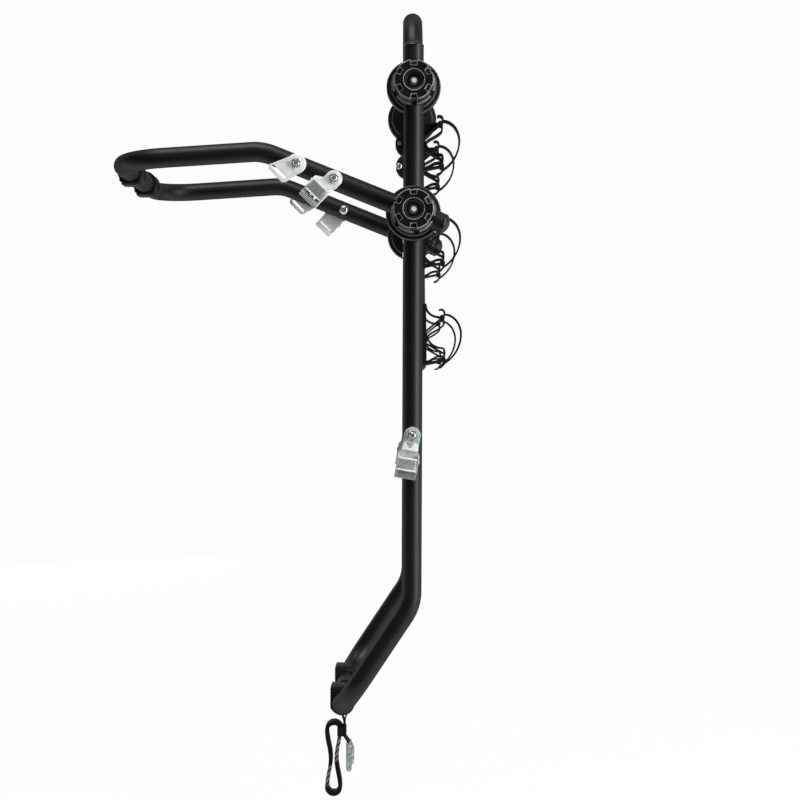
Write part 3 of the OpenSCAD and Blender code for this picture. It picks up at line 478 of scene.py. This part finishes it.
def corner_line(name, points, radii):
    """A line through corner points, each inner one with the radius of its bend."""
    base = bpy.data.meshes.new(name)
    base.from_pydata([Vector(p) * MM for p in points], [(i, i + 1) for i in range(len(points) - 1)], [])
    layer = base.attributes.new("bend_radius", "FLOAT", "POINT")
    for i, r in enumerate([0] + list(radii) + [0]):
        layer.data[i].value = r * MM
    return base


def mirrored(half):
    """The near half of a line of points, and its mirror image on the far side."""
    return half + [(x, -y, z) for x, y, z in reversed(half)]


tube_d = 28.6
bar_x, leg_x, leg_y, arm_y, support_y = 17.5, 119.5, 166, 126, 206
mid_z, top_z = 718, 905
rise, fall, lean = math.radians(21.6), math.radians(4), math.radians(0.75)
slope_l, flat_l, tail_l = 231, 207.5, 45
leg_top, kick_z, arm_low, arm_high = 960, 154, -405, 110
bend_x, bend_z = leg_x - slope_l * math.cos(rise), mid_z + slope_l * math.sin(rise)
upper_x, upper_z = bend_x - flat_l * math.cos(fall), bend_z - flat_l * math.sin(fall)
tail_x, tail_z = leg_x + tail_l * math.cos(rise), mid_z - tail_l * math.sin(rise)


def hung(z):
    """A corner of the hanging arms, from its height along their axis over the top hub."""
    return leg_x - z * math.sin(lean), -arm_y, top_z + z * math.cos(lean)


lines = {
    "main_frame_tube": (
        mirrored([(leg_x, -leg_y, leg_top), (leg_x, -leg_y, kick_z), (bar_x, -leg_y, 0)]), (66, 57, 57, 66)),
    "support_frame_tube": (
        mirrored([(tail_x, -support_y, tail_z), (bend_x, -support_y, bend_z), (upper_x, -support_y, upper_z)]),
        (70, 65, 65, 70)),
    "bike_arm_tube": (mirrored([hung(arm_low), hung(arm_high)]), (62, 62)),
}
for node, (points, radii) in lines.items():
    mesh = grown(node + "_line", tube_tree, corner_line(node + "_corners", points, radii),
                 diameter=tube_d * MM, finish=powder_coat)
    mesh.shade_smooth()
    mesh.set_sharp_from_angle(angle=math.radians(40))
    piece(node + "_swept", mesh, powder_coat, body_of[node], [node])
    print(node, len(mesh.polygons), "faces")

# %% [markdown]
# Bolts, nuts and screws are turned: a profile goes round an axis. Each ring of the profile is a circle, or the
# smaller of a circle and a hexagon, which gives key sockets and nuts whose corners are chamfered by a cone.

# %% Turned fasteners
def outward(x, y, z, turn=90):
    """A place on the near (y < 0) or far side whose own +Z points away from the middle of the rack."""
    return moved(x, y, z) @ turned("Y", 90 - turn) @ turned("X", 90 if y < 0 else -90)


def lathe(form, rings, place, ring=False, count=48):
    """Adds a turned shape: rings of (height, radius) or (height, radius, width across flats)."""
    loops = []
    for height, radius, *flats in rings:
        loop = []
        for i in range(count):
            a = math.tau * i / count
            r = min([radius] + [f / 2 / math.cos(a % (math.pi / 3) - math.pi / 6) for f in flats])
            loop.append(form.verts.new(place @ (Vector((r * math.cos(a), r * math.sin(a), height)) * MM)))
        loops.append(loop)
    for low, high in zip(loops, loops[1:] + loops[:1] if ring else loops[1:]):
        for i in range(count):
            form.faces.new((low[i], low[(i + 1) % count], high[(i + 1) % count], high[i]))
    if not ring:
        form.faces.new(loops[0])
        form.faces.new(loops[-1])


def turned_piece(name, parts, finish, body, slot, stands_for=(), **shape):
    """A piece of turned parts, each a profile and its place."""
    form = bmesh.new()
    for rings, place in parts:
        lathe(form, rings, place, **shape)
    bmesh.ops.recalc_face_normals(form, faces=form.faces)
    return piece(name, finished(form, name), finish, body, stands_for)


def turned_node(node, parts, finish, **shape):
    """Turned parts that stand for all of a node."""
    made = turned_piece(node + "_turned", parts, finish, body_of[node], slot_of[node], [node], **shape)
    print(node, len(parts), "pieces", len(made.data.polygons), "faces")


# %% Bolts and nuts
def along_support(d):
    """A point on the support arm's axis, at a distance from the middle hub."""
    return leg_x - d * math.cos(rise), mid_z + d * math.sin(rise)


plate_seat, buckle_turn, leg_turn = tube_d / 2 + 0.3, 227, 260
buckle_d, bracket_d, leg_buckle_z = 121, 178, 400
support_bolts = [outward(x, side * (support_y + plate_seat), z, buckle_turn)
                 for x, z in map(along_support, (buckle_d, bracket_d)) for side in (-1, 1)]
leg_bolts = [outward(leg_x, side * (leg_y + plate_seat), leg_buckle_z, leg_turn) for side in (-1, 1)]
hub_places = [outward(leg_x, side * y, z) for y, z in ((leg_y, top_z), (support_y, mid_z)) for side in (-1, 1)]
socket_bolt = [(-30.4, 9, 5), (-32.9, 9, 5), (-33, 3.4), (-32.8, 4.4), (-32.1, 5.7), (-31, 6.8), (-29.8, 7.4),
               (-29, 7.4), (-29, 4), (11.2, 4), (12.1, 3.1)]
nut = [(2.7, 4.05), (2.7, 6.3, 12.8), (3.4, 7.4, 12.8), (8.4, 7.4, 12.8), (9.1, 6.3, 12.8), (9.1, 4.7), (8.6, 4.05)]
carriage_bolt = [(-59.1, 1.5), (-58.9, 3.6), (-58.2, 5.9), (-57, 7.8), (-55.6, 9), (-54.6, 9), (-54.6, 4),
                 (38.4, 4), (39.5, 3)]
for node, places in (("support_bracket", support_bolts), ("leg_buckle", leg_bolts)):
    turned_node(node + "_bolts", [(socket_bolt, place) for place in places], bolt_zinc)
    turned_node(node + "_nuts", [(nut, place) for place in places], bolt_zinc, ring=True)
turned_node("hub_bolts", [(carriage_bolt, place) for place in hub_places], zinc)

# %% Cradle screws and clamp bolts
hanging = moved(leg_x, 0, top_z) @ turned("Y", math.degrees(-lean))
first_cradle, cradle_gap = -79.5, 141.75
cradle_z = [first_cradle - cradle_gap * i for i in range(3)]
screw = [(-1.4, 9, 3.2), (-2.9, 9, 3.2), (-3, 2.4), (-2.8, 3.5), (-2, 4.6), (-1, 5), (0, 5), (0, 2.5), (30.4, 2.5)]
clamp_bolt = [(10.4, 9, 4), (12, 9, 4), (12.1, 3), (11.8, 4), (11, 4.8), (10, 5.1), (9.1, 5.1), (9.1, 3), (-10.5, 3)]
behind_tube, clamp_x = -tube_d / 2 - 0.1, -22
parts = []
for side in (-1, 1):
    parts += [(screw, hanging @ moved(behind_tube, side * arm_y, z) @ turned("Y", 90)) for z in cradle_z[1:]]
    parts.append((clamp_bolt, hanging @ moved(clamp_x, side * arm_y, cradle_z[0]) @ turned("X", 90 * side)))
turned_node("cradle_fasteners", parts, bolt_zinc)

# %% [markdown]
# A thread is a ridge that winds round the bolt. A small tree sweeps a hexagon along a spiral, and each bolt gets
# a copy of it where its end shows beyond the nut, which is two turns.

# %% Threads on the bolt ends
thread_tree, sizes, out = geometry_tree("bolt_thread", radius=0.0, height=0.0, turns=0.0, ridge=0.0, finish=bolt_zinc)
helix = add(thread_tree, "GeometryNodeCurveSpiral", {
    "Resolution": 24, "Rotations": sizes["turns"], "Start Radius": sizes["radius"], "End Radius": sizes["radius"],
    "Height": sizes["height"]})
ridge = add(thread_tree, "GeometryNodeCurvePrimitiveCircle", {"Resolution": 6, "Radius": sizes["ridge"]})
swept = add(thread_tree, "GeometryNodeCurveToMesh", {
    "Curve": helix.outputs["Curve"], "Profile Curve": ridge.outputs["Curve"], "Fill Caps": True})
delivered(thread_tree, sizes, out, swept.outputs["Mesh"])


def repeated(name, mesh, places):
    """One mesh of copies of a grown mesh, its faces turned outwards again where a place mirrors it."""
    form = bmesh.new()
    for place in places:
        start = len(form.faces)
        form.from_mesh(mesh)
        form.faces.ensure_lookup_table()
        new_faces = form.faces[start:]
        bmesh.ops.transform(form, matrix=place, verts=list({v for f in new_faces for v in f.verts}))
        if place.determinant() < 0:
            bmesh.ops.reverse_faces(form, faces=new_faces)
    return finished(form, name)


nut_end = 9.2
thread = grown("thread", thread_tree,
               radius=3.95 * MM, height=2.5 * MM, turns=2.0, ridge=0.32 * MM, finish=bolt_zinc)
for node, places in (("support_bracket_bolts", support_bolts), ("leg_buckle_bolts", leg_bolts)):
    mesh = repeated(node + "_threads", thread, [place @ moved(0, 0, nut_end) for place in places])
    piece(node + "_threads", mesh, bolt_zinc, body_of[node])
print("thread", len(thread.polygons), "faces")

# %% [markdown]
# The hand knobs are the boldest shapes on the rack: a thick disc with six pockets for the fingers, a fine rim,
# and a conical well where the bolt ends in an insert nut. A profile goes round in columns. Where a pocket
# starts, two columns with different profiles stand at the same angle, and the step between them is its wall.

# %% Hand knobs
land = [(4.3, 20), (26.5, 20), (28.5, 22), (28.5, 45.5), (27.6, 46.8), (26.4, 47), (20.4, 46.4), (20.4, 46.4),
        (16.4, 46.4), (15.1, 46.4), (14.6, 46), (6.6, 32), (4.3, 32)]
pocket = [(4.3, 20), (25.4, 20), (27, 22), (27, 41.9), (26.6, 42.8), (26, 43), (20.4, 43), (20.4, 46.4),
          (16.4, 46.4), (15.1, 46.4), (14.6, 46), (6.6, 32), (4.3, 32)]
pockets, pocket_span, pocket_steps, land_steps = 6, 22, 6, 10
share = 360 / pockets
land_span = share - pocket_span
columns = [(share * (k + 0.5) + a, shape) for k in range(pockets) for a, shape in (
    [(pocket_span * (i / pocket_steps - 0.5), pocket) for i in range(pocket_steps + 1)]
    + [(pocket_span / 2 + land_span * i / land_steps, land) for i in range(land_steps + 1)])]
insert = [(31.9, 4.1), (31.9, 6.4), (33.6, 6.4), (34.1, 5.9), (34.1, 4.5), (33.7, 4.1)]
for node, place in zip(("top_knob_near", "top_knob_far", "mid_knob_near", "mid_knob_far"), hub_places):
    form = bmesh.new()
    rows = [[form.verts.new(place @ (Vector((r * math.cos(math.radians(a)), r * math.sin(math.radians(a)), z)) * MM))
             for r, z in shape] for a, shape in columns]
    for here, there in zip(rows, rows[1:] + rows[:1]):
        for i in range(len(land)):
            j = (i + 1) % len(land)
            form.faces.new((here[i], there[i], there[j], here[j]))
    bmesh.ops.remove_doubles(form, verts=form.verts, dist=0.001 * MM)
    bmesh.ops.recalc_face_normals(form, faces=form.faces)
    # The knob's rounded edges get three quarters of the painted highlight.
    mesh = finished(form, node + "_moulded", radius=0.35, sharp=28, rubbed=0.75, clamp=False)
    piece(node + "_moulded", mesh, nylon, body_of[node], [node])
    turned_piece(node + "_insert", [(insert, place)], bolt_zinc, body_of[node], "zinc_plate", ring=True)
print("knob faces", len(mesh.polygons))

# %% [markdown]
# A cam lever is a bent plate: a barrel on the pin, a nose that bites the strap, and a thumb plate. The thumb
# plate is knurled, and its two edges are rolled into beads. A Geometry Nodes grid of small pyramids makes the
# knurl, coarser than the real one, at 1.9 mm, so that it shows. The roller at the end of each buckle is a sleeve
# in a dark finish, painted shade where it lies under the lever, fluted in the same way, and the buckles on the
# support arms have a slot in front of it for the webbing.

# %% Levers
def arc(x, y, r, start, end, steps):
    """Points round a middle, from one angle to another."""
    angles = [math.radians(start + (end - start) * i / steps) for i in range(steps + 1)]
    return [(x + r * math.cos(a), y + r * math.sin(a)) for a in angles]


def walled(name, low, high, place, **edges):
    """A solid between two loops of corners in millimetres, with soft edges."""
    form = bmesh.new()
    loops = [[form.verts.new(place @ (Vector(corner) * MM)) for corner in loop] for loop in (low, high)]
    count = len(low)
    for i in range(count):
        j = (i + 1) % count
        form.faces.new((loops[0][i], loops[0][j], loops[1][j], loops[1][i]))
    for loop in loops:
        form.faces.new(loop)
    bmesh.ops.recalc_face_normals(form, faces=form.faces)
    return finished(form, name, **edges)


lever_side = (arc(9, 7.5, 4.5, 150, 285, 12) + arc(11.4, 5.1, 2.2, 290, 370, 6)
              + [(13.3, 8.2), (14, 9.2), (15.2, 9.6), (20.8, 9.6), (21.7, 9), (21.9, 5.4), (22.5, 4.9), (23.3, 5.4),
                 (23.5, 10.2), (23.1, 10.9), (22.4, 11.2), (6.3, 11.2), (5.6, 10.8), (5.2, 10.1)])
lever_half = 13.2
rolled_edge = [(-lever_half, 0.8), (0.3 - lever_half, 1.2), (lever_half - 0.3, 1.2), (lever_half, 0.8)]
edge_y, edge_z = (6, 22.8), 10.7
mirror_far = Matrix.Scale(-1, 4, (0, 1, 0))


def buckle_places(x, y, z, turn, shift, neck):
    """The near and far place of a buckle, from its bolt, its turn and the length of its neck."""
    near = outward(x, -y - plate_seat, z, turn) @ moved(shift, neck, 0)
    return {"near": near, "far": mirror_far @ near}


buckle_x, buckle_z = along_support(buckle_d)
support_buckles = buckle_places(buckle_x, support_y, buckle_z, buckle_turn, shift=6, neck=14)
leg_buckles = buckle_places(leg_x, leg_y, leg_buckle_z, leg_turn, shift=0, neck=28)
strap_x, strap_z, strap_neck = bar_x + 3, -84, 5
strap_place = moved(strap_x, 0, strap_z) @ turned("Y", 90) @ turned("Z", -90) @ moved(0, strap_neck, 0)
buckles = {"strap_buckle_lever": strap_place}
for side in ("near", "far"):
    buckles["support_lever_" + side] = support_buckles[side]
    buckles["leg_lever_" + side] = leg_buckles[side]
plating = {
    "strap": {"frame": dull_zinc, "thumb": lever_zinc, "edges": dull_zinc, "flutes": dull_zinc},
    "support": {"frame": zinc, "thumb": lever_zinc, "edges": zinc, "flutes": zinc},
    "leg": {"frame": leg_zinc, "thumb": lever_zinc_painted_light, "edges": zinc, "flutes": lever_zinc_painted_light}}
for node, place in buckles.items():
    finish = plating[node.split("_")[0]]
    ends = [[(x, y, z) for y, z in lever_side] for x in (-lever_half, lever_half)]
    mesh = walled(node + "_bent", *ends, place, radius=0.3, sharp=50)
    piece(node + "_bent", mesh, finish["thumb"], body_of[node], [node])
    beads = [(rolled_edge, place @ moved(0, y, edge_z) @ turned("Y", 90)) for y in edge_y]
    turned_piece(node + "_rolled_edges", beads, finish["edges"], body_of[node], slot_of[node], count=12)
print("levers", list(buckles))

# %% Knurl and flutes
knurl_tree, sizes, out = geometry_tree("knurl", width=0.0, length=0.0, columns=0, rows=0, point=0.0, finish=lever_zinc)
field = add(knurl_tree, "GeometryNodeMeshGrid", {
    "Size X": sizes["width"], "Size Y": sizes["length"], "Vertices X": sizes["columns"], "Vertices Y": sizes["rows"]})
point = add(knurl_tree, "GeometryNodeMeshCone", {
    "Vertices": 4, "Radius Bottom": sizes["point"], "Depth": sizes["point"]})
knurled = add(knurl_tree, "GeometryNodeInstanceOnPoints", {
    "Points": field.outputs["Mesh"], "Instance": point.outputs["Mesh"]})
delivered(knurl_tree, sizes, out, knurled.outputs["Instances"])
knurl = grown("knurl", knurl_tree,
              width=20.9 * MM, length=13.3 * MM, columns=12, rows=8, point=0.95 * MM, finish=lever_zinc)

flute_tree, sizes, out = geometry_tree("flutes", radius=0.0, length=0.0, count=0, flute=0.0, finish=zinc)
around = add(flute_tree, "GeometryNodeMeshCircle", {"Vertices": sizes["count"], "Radius": sizes["radius"]})
flute = add(flute_tree, "GeometryNodeMeshCylinder", {
    "Vertices": 8, "Radius": sizes["flute"], "Depth": sizes["length"]})
fluted = add(flute_tree, "GeometryNodeInstanceOnPoints", {
    "Points": around.outputs["Mesh"], "Instance": flute.outputs["Mesh"]})
delivered(flute_tree, sizes, out, fluted.outputs["Instances"])
flutes = grown("flutes", flute_tree,
               radius=3.85 * MM, length=30 * MM, count=11, flute=0.5 * MM, finish=zinc)

# %% Knurled plates, buckle frames and rollers
roller_sleeve = [(-15.4, 3.2), (-15.2, 4.1), (15.2, 4.1), (15.4, 3.2)]
knurl_seat, roller_seat = moved(0, 14.3, 11.45), moved(0, 31, 4.4) @ turned("Y", 90)
webbing_slot = (-11.5, 23, -2), (11.5, 26.4, 5)
for node, place in buckles.items():
    kind = node.split("_")[0]
    mesh = repeated(node + "_knurl", knurl, [place @ knurl_seat])
    piece(node + "_knurl", mesh, plating[kind]["thumb"], body_of[node])
    holder = "strap_buckle_frame" if kind == "strap" else node.replace("lever", "buckle")
    softened(holder, plating[kind]["frame"], 0.35, 1, (*webbing_slot, place) if kind == "support" else None)
    roller = place @ roller_seat
    mesh = repeated(holder + "_flutes", flutes, [roller])
    piece(holder + "_flutes", mesh, plating[kind]["flutes"], body_of[holder])
    # The sleeve's dark finish is painted shade under the lever.
    turned_piece(holder + "_roller", [(roller_sleeve, roller)], roller_zinc_painted_shade, body_of[holder], "zinc_plate", count=24)
print("knurl", len(knurl.polygons), "flutes", len(flutes.polygons), "faces")

# %% [markdown]
# The buckles on the legs have long necks. The press gave each a raised step across it and a small gusset, so
# that it doesn't bend. Both are low solids between four corners on the plate and four above it.

# %% Pressed step and gusset on the long necks
step_foot = [(-9.5, -17), (9.5, -17), (12.5, -5), (-12.5, -5)]
step_top = [(-9.5, -16.5, 2.6), (9.5, -16.5, 2.6), (12.3, -6, 4.6), (-12.3, -6, 4.6)]
gusset_foot = [(-8, -19), (8, -19), (1.5, -9), (-1.5, -9)]
gusset_top = [(-5, -17, 4.4), (5, -17, 4.4), (0.9, -10.5, 4.8), (-0.9, -10.5, 4.8)]
plate_top = 2.3
for side, place in leg_buckles.items():
    for part, foot, top, finish in (("_step", step_foot, step_top, zinc),
                                    ("_gusset", gusset_foot, gusset_top, leg_zinc)):
        node = "leg_buckle_" + side
        mesh = walled(node + part, [(x, y, plate_top) for x, y in foot], top, place, radius=0.25, sharp=15, rubbed=0)
        piece(node + part, mesh, finish, body_of[node])
        print(node + part, len(mesh.polygons), "faces")

# %% [markdown]
# The rubber feet grip with a tread: bars across the face that touches the vehicle, and rings round the sleeve
# that stop it from turning on the crossbar. One tree makes a row of bars, another a row of rings.

# %% Tread of the feet
bar_tree, sizes, out = geometry_tree("tread_bars", length=0.0, pitch=0.0, count=0, bar=0.0, finish=rubber)
step = add(bar_tree, "ShaderNodeCombineXYZ", {"X": sizes["pitch"]})
row = add(bar_tree, "GeometryNodeMeshLine", {"Count": sizes["count"], "Offset": step.outputs["Vector"]})
bar = add(bar_tree, "GeometryNodeMeshCylinder", {"Vertices": 10, "Radius": sizes["bar"], "Depth": sizes["length"]})
bars = add(bar_tree, "GeometryNodeInstanceOnPoints", {"Points": row.outputs["Mesh"], "Instance": bar.outputs["Mesh"]})
delivered(bar_tree, sizes, out, bars.outputs["Instances"])

ring_tree, sizes, out = geometry_tree("sleeve_rings", radius=0.0, pitch=0.0, count=0, bead=0.0, finish=rubber)
step = add(ring_tree, "ShaderNodeCombineXYZ", {"Z": sizes["pitch"]})
row = add(ring_tree, "GeometryNodeMeshLine", {"Count": sizes["count"], "Offset": step.outputs["Vector"]})
hoop = add(ring_tree, "GeometryNodeCurvePrimitiveCircle", {"Resolution": 64, "Radius": sizes["radius"]})
bead = add(ring_tree, "GeometryNodeCurvePrimitiveCircle", {"Resolution": 8, "Radius": sizes["bead"]})
swept = add(ring_tree, "GeometryNodeCurveToMesh", {
    "Curve": hoop.outputs["Curve"], "Profile Curve": bead.outputs["Curve"]})
rings = add(ring_tree, "GeometryNodeInstanceOnPoints", {
    "Points": row.outputs["Mesh"], "Instance": swept.outputs["Mesh"]})
delivered(ring_tree, sizes, out, rings.outputs["Instances"])

# %% Feet
bar_pitch, bar_count, ring_pitch, ring_count = 5, 6, 8, 4
bars_half, rings_half = bar_pitch * (bar_count - 1) / 2, ring_pitch * (ring_count - 1) / 2
bars = grown("bars", bar_tree,
             length=38 * MM, pitch=bar_pitch * MM, count=bar_count, bar=0.9 * MM, finish=rubber)
rings = grown("rings", ring_tree,
              radius=16.5 * MM, pitch=ring_pitch * MM, count=ring_count, bead=0.9 * MM, finish=rubber)
pad, sunk, lower_y, upper_y, tread_z = tube_d / 2 + 4, 0.25, 87, 70, -6
for word, side in (("near", -1), ("far", 1)):
    for foot, y, face, x, z in (
            ("lower_foot_", lower_y, moved(sunk, side * lower_y, tread_z) @ turned("Y", -90), bar_x, 0),
            ("upper_foot_", upper_y, moved(upper_x - bars_half, side * upper_y, upper_z - pad + sunk),
             upper_x, upper_z)):
        for part, mesh, place in (("_tread", bars, face @ turned("X", 90)),
                                  ("_rings", rings, moved(x, side * y - rings_half, z) @ turned("X", -90))):
            name = foot + word + part
            piece(name, repeated(name, mesh, [place]), rubber, body_of[foot + word])
print("tread", len(bars.polygons), "rings", len(rings.polygons))

# %% [markdown]
# The bottom strap is one length of webbing. Its lead goes round the crossbar and is sewn to itself, and the
# rest is folded into a flat hank held by a keeper. Webbing bends only one way, so each part is a flat band
# swept along a line in the XZ plane, with rounded selvedges and a UV map in metres. The hank has three turns,
# drawn in to a waist by the keeper, and in two places its selvedges carry a painted highlight: slanted pale stripes.

# %% Bands of webbing
def band(name, line, width, thick):
    """A closed flat band along points of the XZ plane, in millimetres, with its middle at y = 0."""
    edge = thick / 2
    rim = [(-1, -0.72), (-0.72, -1), (0.72, -1), (1, -0.72), (1, 0.72), (0.72, 1), (-0.72, 1), (-1, 0.72)]
    profile = [(math.copysign(width / 2 - edge * (1 - abs(a)), a), b * edge) for a, b in rim]
    profile = [(y if abs(b) < 0.9 * edge else math.copysign(width / 2 - edge * 0.4, y), b) for y, b in profile]
    form = bmesh.new()
    uv = form.loops.layers.uv.new("UVMap")
    rings, run, runs = [], 0, []
    for i, (x, z) in enumerate(line):
        ahead, behind = line[min(i + 1, len(line) - 1)], line[max(i - 1, 0)]
        t = Vector((ahead[0] - behind[0], ahead[1] - behind[1])).normalized()
        rings.append([form.verts.new(Vector((x - t.y * n, y, z + t.x * n)) * MM) for y, n in profile])
        run += math.dist(line[i], line[i - 1]) if i else 0
        runs.append(run)
    count = len(profile)
    around = [y + n for y, n in profile]
    for i in range(len(rings) - 1):
        for k in range(count):
            j = (k + 1) % count
            face = form.faces.new((rings[i][k], rings[i][j], rings[i + 1][j], rings[i + 1][k]))
            for loop, (u, v) in zip(face.loops, ((k, i), (j, i), (j, i + 1), (k, i + 1))):
                loop[uv].uv = (around[u] * MM, runs[v] * MM)
    for ends in (rings[0], rings[-1]):
        face = form.faces.new(ends)
        for loop, y in zip(face.loops, around):
            loop[uv].uv = (y * MM, 0)
    bmesh.ops.recalc_face_normals(form, faces=form.faces)
    mesh = bpy.data.meshes.new(name)
    form.to_mesh(mesh)
    form.free()
    mesh.shade_smooth()
    mesh.set_sharp_from_angle(angle=math.radians(50))
    return mesh, run


# %% Folded hank
webbing_w, webbing_t = 25, 1.5
turns, pitch, ply_t, waist_r, hank_h, hank_w = 3, 1.95, 2, 4.6, 115, 26.6
hank_x, hank_foot = bar_x - 16, -163
hank_mid = hank_foot + hank_h / 2
straight, end_r = hank_h - hank_w, hank_w / 2 - pitch - ply_t / 2


def waist(z):
    """Half the inner width of the hank at a height, drawn in at the keeper."""
    return end_r - (end_r - waist_r) * (1 - math.cos(math.tau * (z / straight + 0.5))) / 2


def hank_point(turn):
    """A point of the hank's line, from the number of turns that lie outside it."""
    off = pitch * (turns / 2 - turn)
    quarter, f = divmod(4 * (turn % 1), 1)
    a, z = math.pi * f, straight * (f - 0.5)
    x, y = {
        0: ((end_r + off) * math.cos(a), straight / 2 + (end_r + off) * math.sin(a)),
        1: (-waist(z) - off, -z),
        2: (-(end_r + off) * math.cos(a), -straight / 2 - (end_r + off) * math.sin(a)),
        3: (waist(z) + off, z)}[int(quarter)]
    return hank_x + x, hank_mid + y


# Where the selvedges get the painted highlight: a range of height in mm on each leg, softened at its ends.
steps, painted_glint_right, painted_glint_left, fade, selvedge = 420, (-5, 36), (9, 42), 3, 11
hank_line = [hank_point(turns * i / steps) for i in range(steps + 1)]
hank_mesh, hank_l = band("hank_band", hank_line, webbing_w, ply_t)
glint = hank_mesh.attributes.new("glint", "FLOAT", "POINT")
for vertex, value in zip(hank_mesh.vertices, glint.data):
    x, z = vertex.co.x / MM - hank_x, vertex.co.z / MM - hank_mid
    up, first, last = (z, *painted_glint_right) if x > 0 else (-z, *painted_glint_left)
    bright = min(1, max(0, (up - first) / fade), max(0, (last - up) / fade))
    value.value = bright if abs(vertex.co.y) > selvedge * MM else 0
hank = piece("folded_hank", hank_mesh, webbing, "rack", ["strap_hank"])
print("hank", round(hank_l), "mm of webbing")

# %% Sewn lead
loop_gap, ply_gap, drop, loop_steps = 0.3, 0.05, 44, 40
loop_r = tube_d / 2 + loop_gap + webbing_t / 2
meet = math.acos(loop_r / drop)
stem = [(bar_x, -drop - 2), (bar_x, -58), (bar_x, -70.5), (bar_x + 2.6, -74), (bar_x + 7, -80.4)]
round_bar = [(bar_x + loop_r * math.sin(a), -loop_r * math.cos(a))
             for a in [meet + (math.tau - 2 * meet) * i / loop_steps for i in range(loop_steps + 1)]]
ply = webbing_t / 2 + ply_gap
lead_line = ([(x - ply, z) for x, z in reversed(stem)]
             + [(2 * bar_x - x, z) for x, z in round_bar]
             + [(x + ply, z) for x, z in stem])
lead_mesh, lead_l = band("lead_band", lead_line, webbing_w, webbing_t)
lead = piece("sewn_lead", lead_mesh, webbing, "rack", ["strap_lead"])
print("lead", round(lead_l), "mm of webbing")

# %% [markdown]
# The lead is sewn to itself below the crossbar, with three rows of thick thread on each face. A stitch is a
# stretched bead, and a tree lays one row of them.

# %% Stitches on the lead
stitch_tree, sizes, out = geometry_tree("stitches", pitch=0.0, count=0, length=0.0, thread=0.0, finish=webbing)
step = add(stitch_tree, "ShaderNodeCombineXYZ", {"Y": sizes["pitch"]})
row = add(stitch_tree, "GeometryNodeMeshLine", {"Count": sizes["count"], "Offset": step.outputs["Vector"]})
bead = add(stitch_tree, "GeometryNodeMeshUVSphere", {"Segments": 8, "Rings": 6, "Radius": 1.0})
form_of = add(stitch_tree, "ShaderNodeCombineXYZ", {"X": sizes["thread"], "Y": sizes["length"], "Z": sizes["thread"]})
sewn = add(stitch_tree, "GeometryNodeInstanceOnPoints", {
    "Points": row.outputs["Mesh"], "Instance": bead.outputs["Mesh"], "Scale": form_of.outputs["Vector"]})
delivered(stitch_tree, sizes, out, sewn.outputs["Instances"])
in_row, stitch_pitch, row_heights = 7, 3.3, (-47.5, -50, -52.5)
across = grown("stitches", stitch_tree,
               pitch=stitch_pitch * MM, count=in_row, length=1.35 * MM, thread=0.38 * MM, finish=webbing)
start_y = -stitch_pitch * (in_row - 1) / 2
rows = [moved(bar_x + face * (2 * ply - ply_gap), start_y, z) for face in (-1, 1) for z in row_heights]
piece("lead_stitches", repeated("lead_stitches", across, rows), webbing, "rack")
print("stitches", in_row * len(rows))

# %% [markdown]
# The keeper is a short loop of webbing round the hank and the lead. It is a closed band with rounded corners,
# fitted to the box of the solid that it stands for.

# %% Keeper
low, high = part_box("strap_keeper")
half_t, corner, play, uv_across, uv_along = 0.7, 2.2, 0.6, 7, 3
left, right = low.x / MM + half_t, high.x / MM - half_t
room = (webbing_w + play) / 2 + half_t
ring = []
for cx, cy, start in ((right - corner, room - corner, 0), (left + corner, room - corner, 90),
                      (left + corner, corner - room, 180), (right - corner, corner - room, 270)):
    ring += arc(cx, cy, corner, start, start + 90, 6)
form = bmesh.new()
uv = form.loops.layers.uv.new("UVMap")
wall = []
for x, y in ring:
    out_way = Vector((x - (left + right) / 2, y)).normalized()
    wall.append([form.verts.new(Vector((x + out_way.x * n, y + out_way.y * n, z / MM)) * MM)
                 for n, z in ((-half_t, low.z), (half_t, low.z), (half_t, high.z), (-half_t, high.z))])
for k in range(len(wall)):
    for s in range(4):
        a, b = wall[k], wall[(k + 1) % len(wall)]
        face = form.faces.new((a[s], b[s], b[(s + 1) % 4], a[(s + 1) % 4]))
        for loop, (u, v) in zip(face.loops, ((s, k), (s, k + 1), (s + 1, k + 1), (s + 1, k))):
            loop[uv].uv = (u * uv_across * MM, v * uv_along * MM)
bmesh.ops.recalc_face_normals(form, faces=form.faces)
keeper_mesh = bpy.data.meshes.new("keeper_band")
form.to_mesh(keeper_mesh)
form.free()
keeper = piece("webbing_keeper", keeper_mesh, webbing, "rack", ["strap_keeper"])
around = 2 * (right - left) + 4 * room
print("keeper", round(around), "mm of webbing")
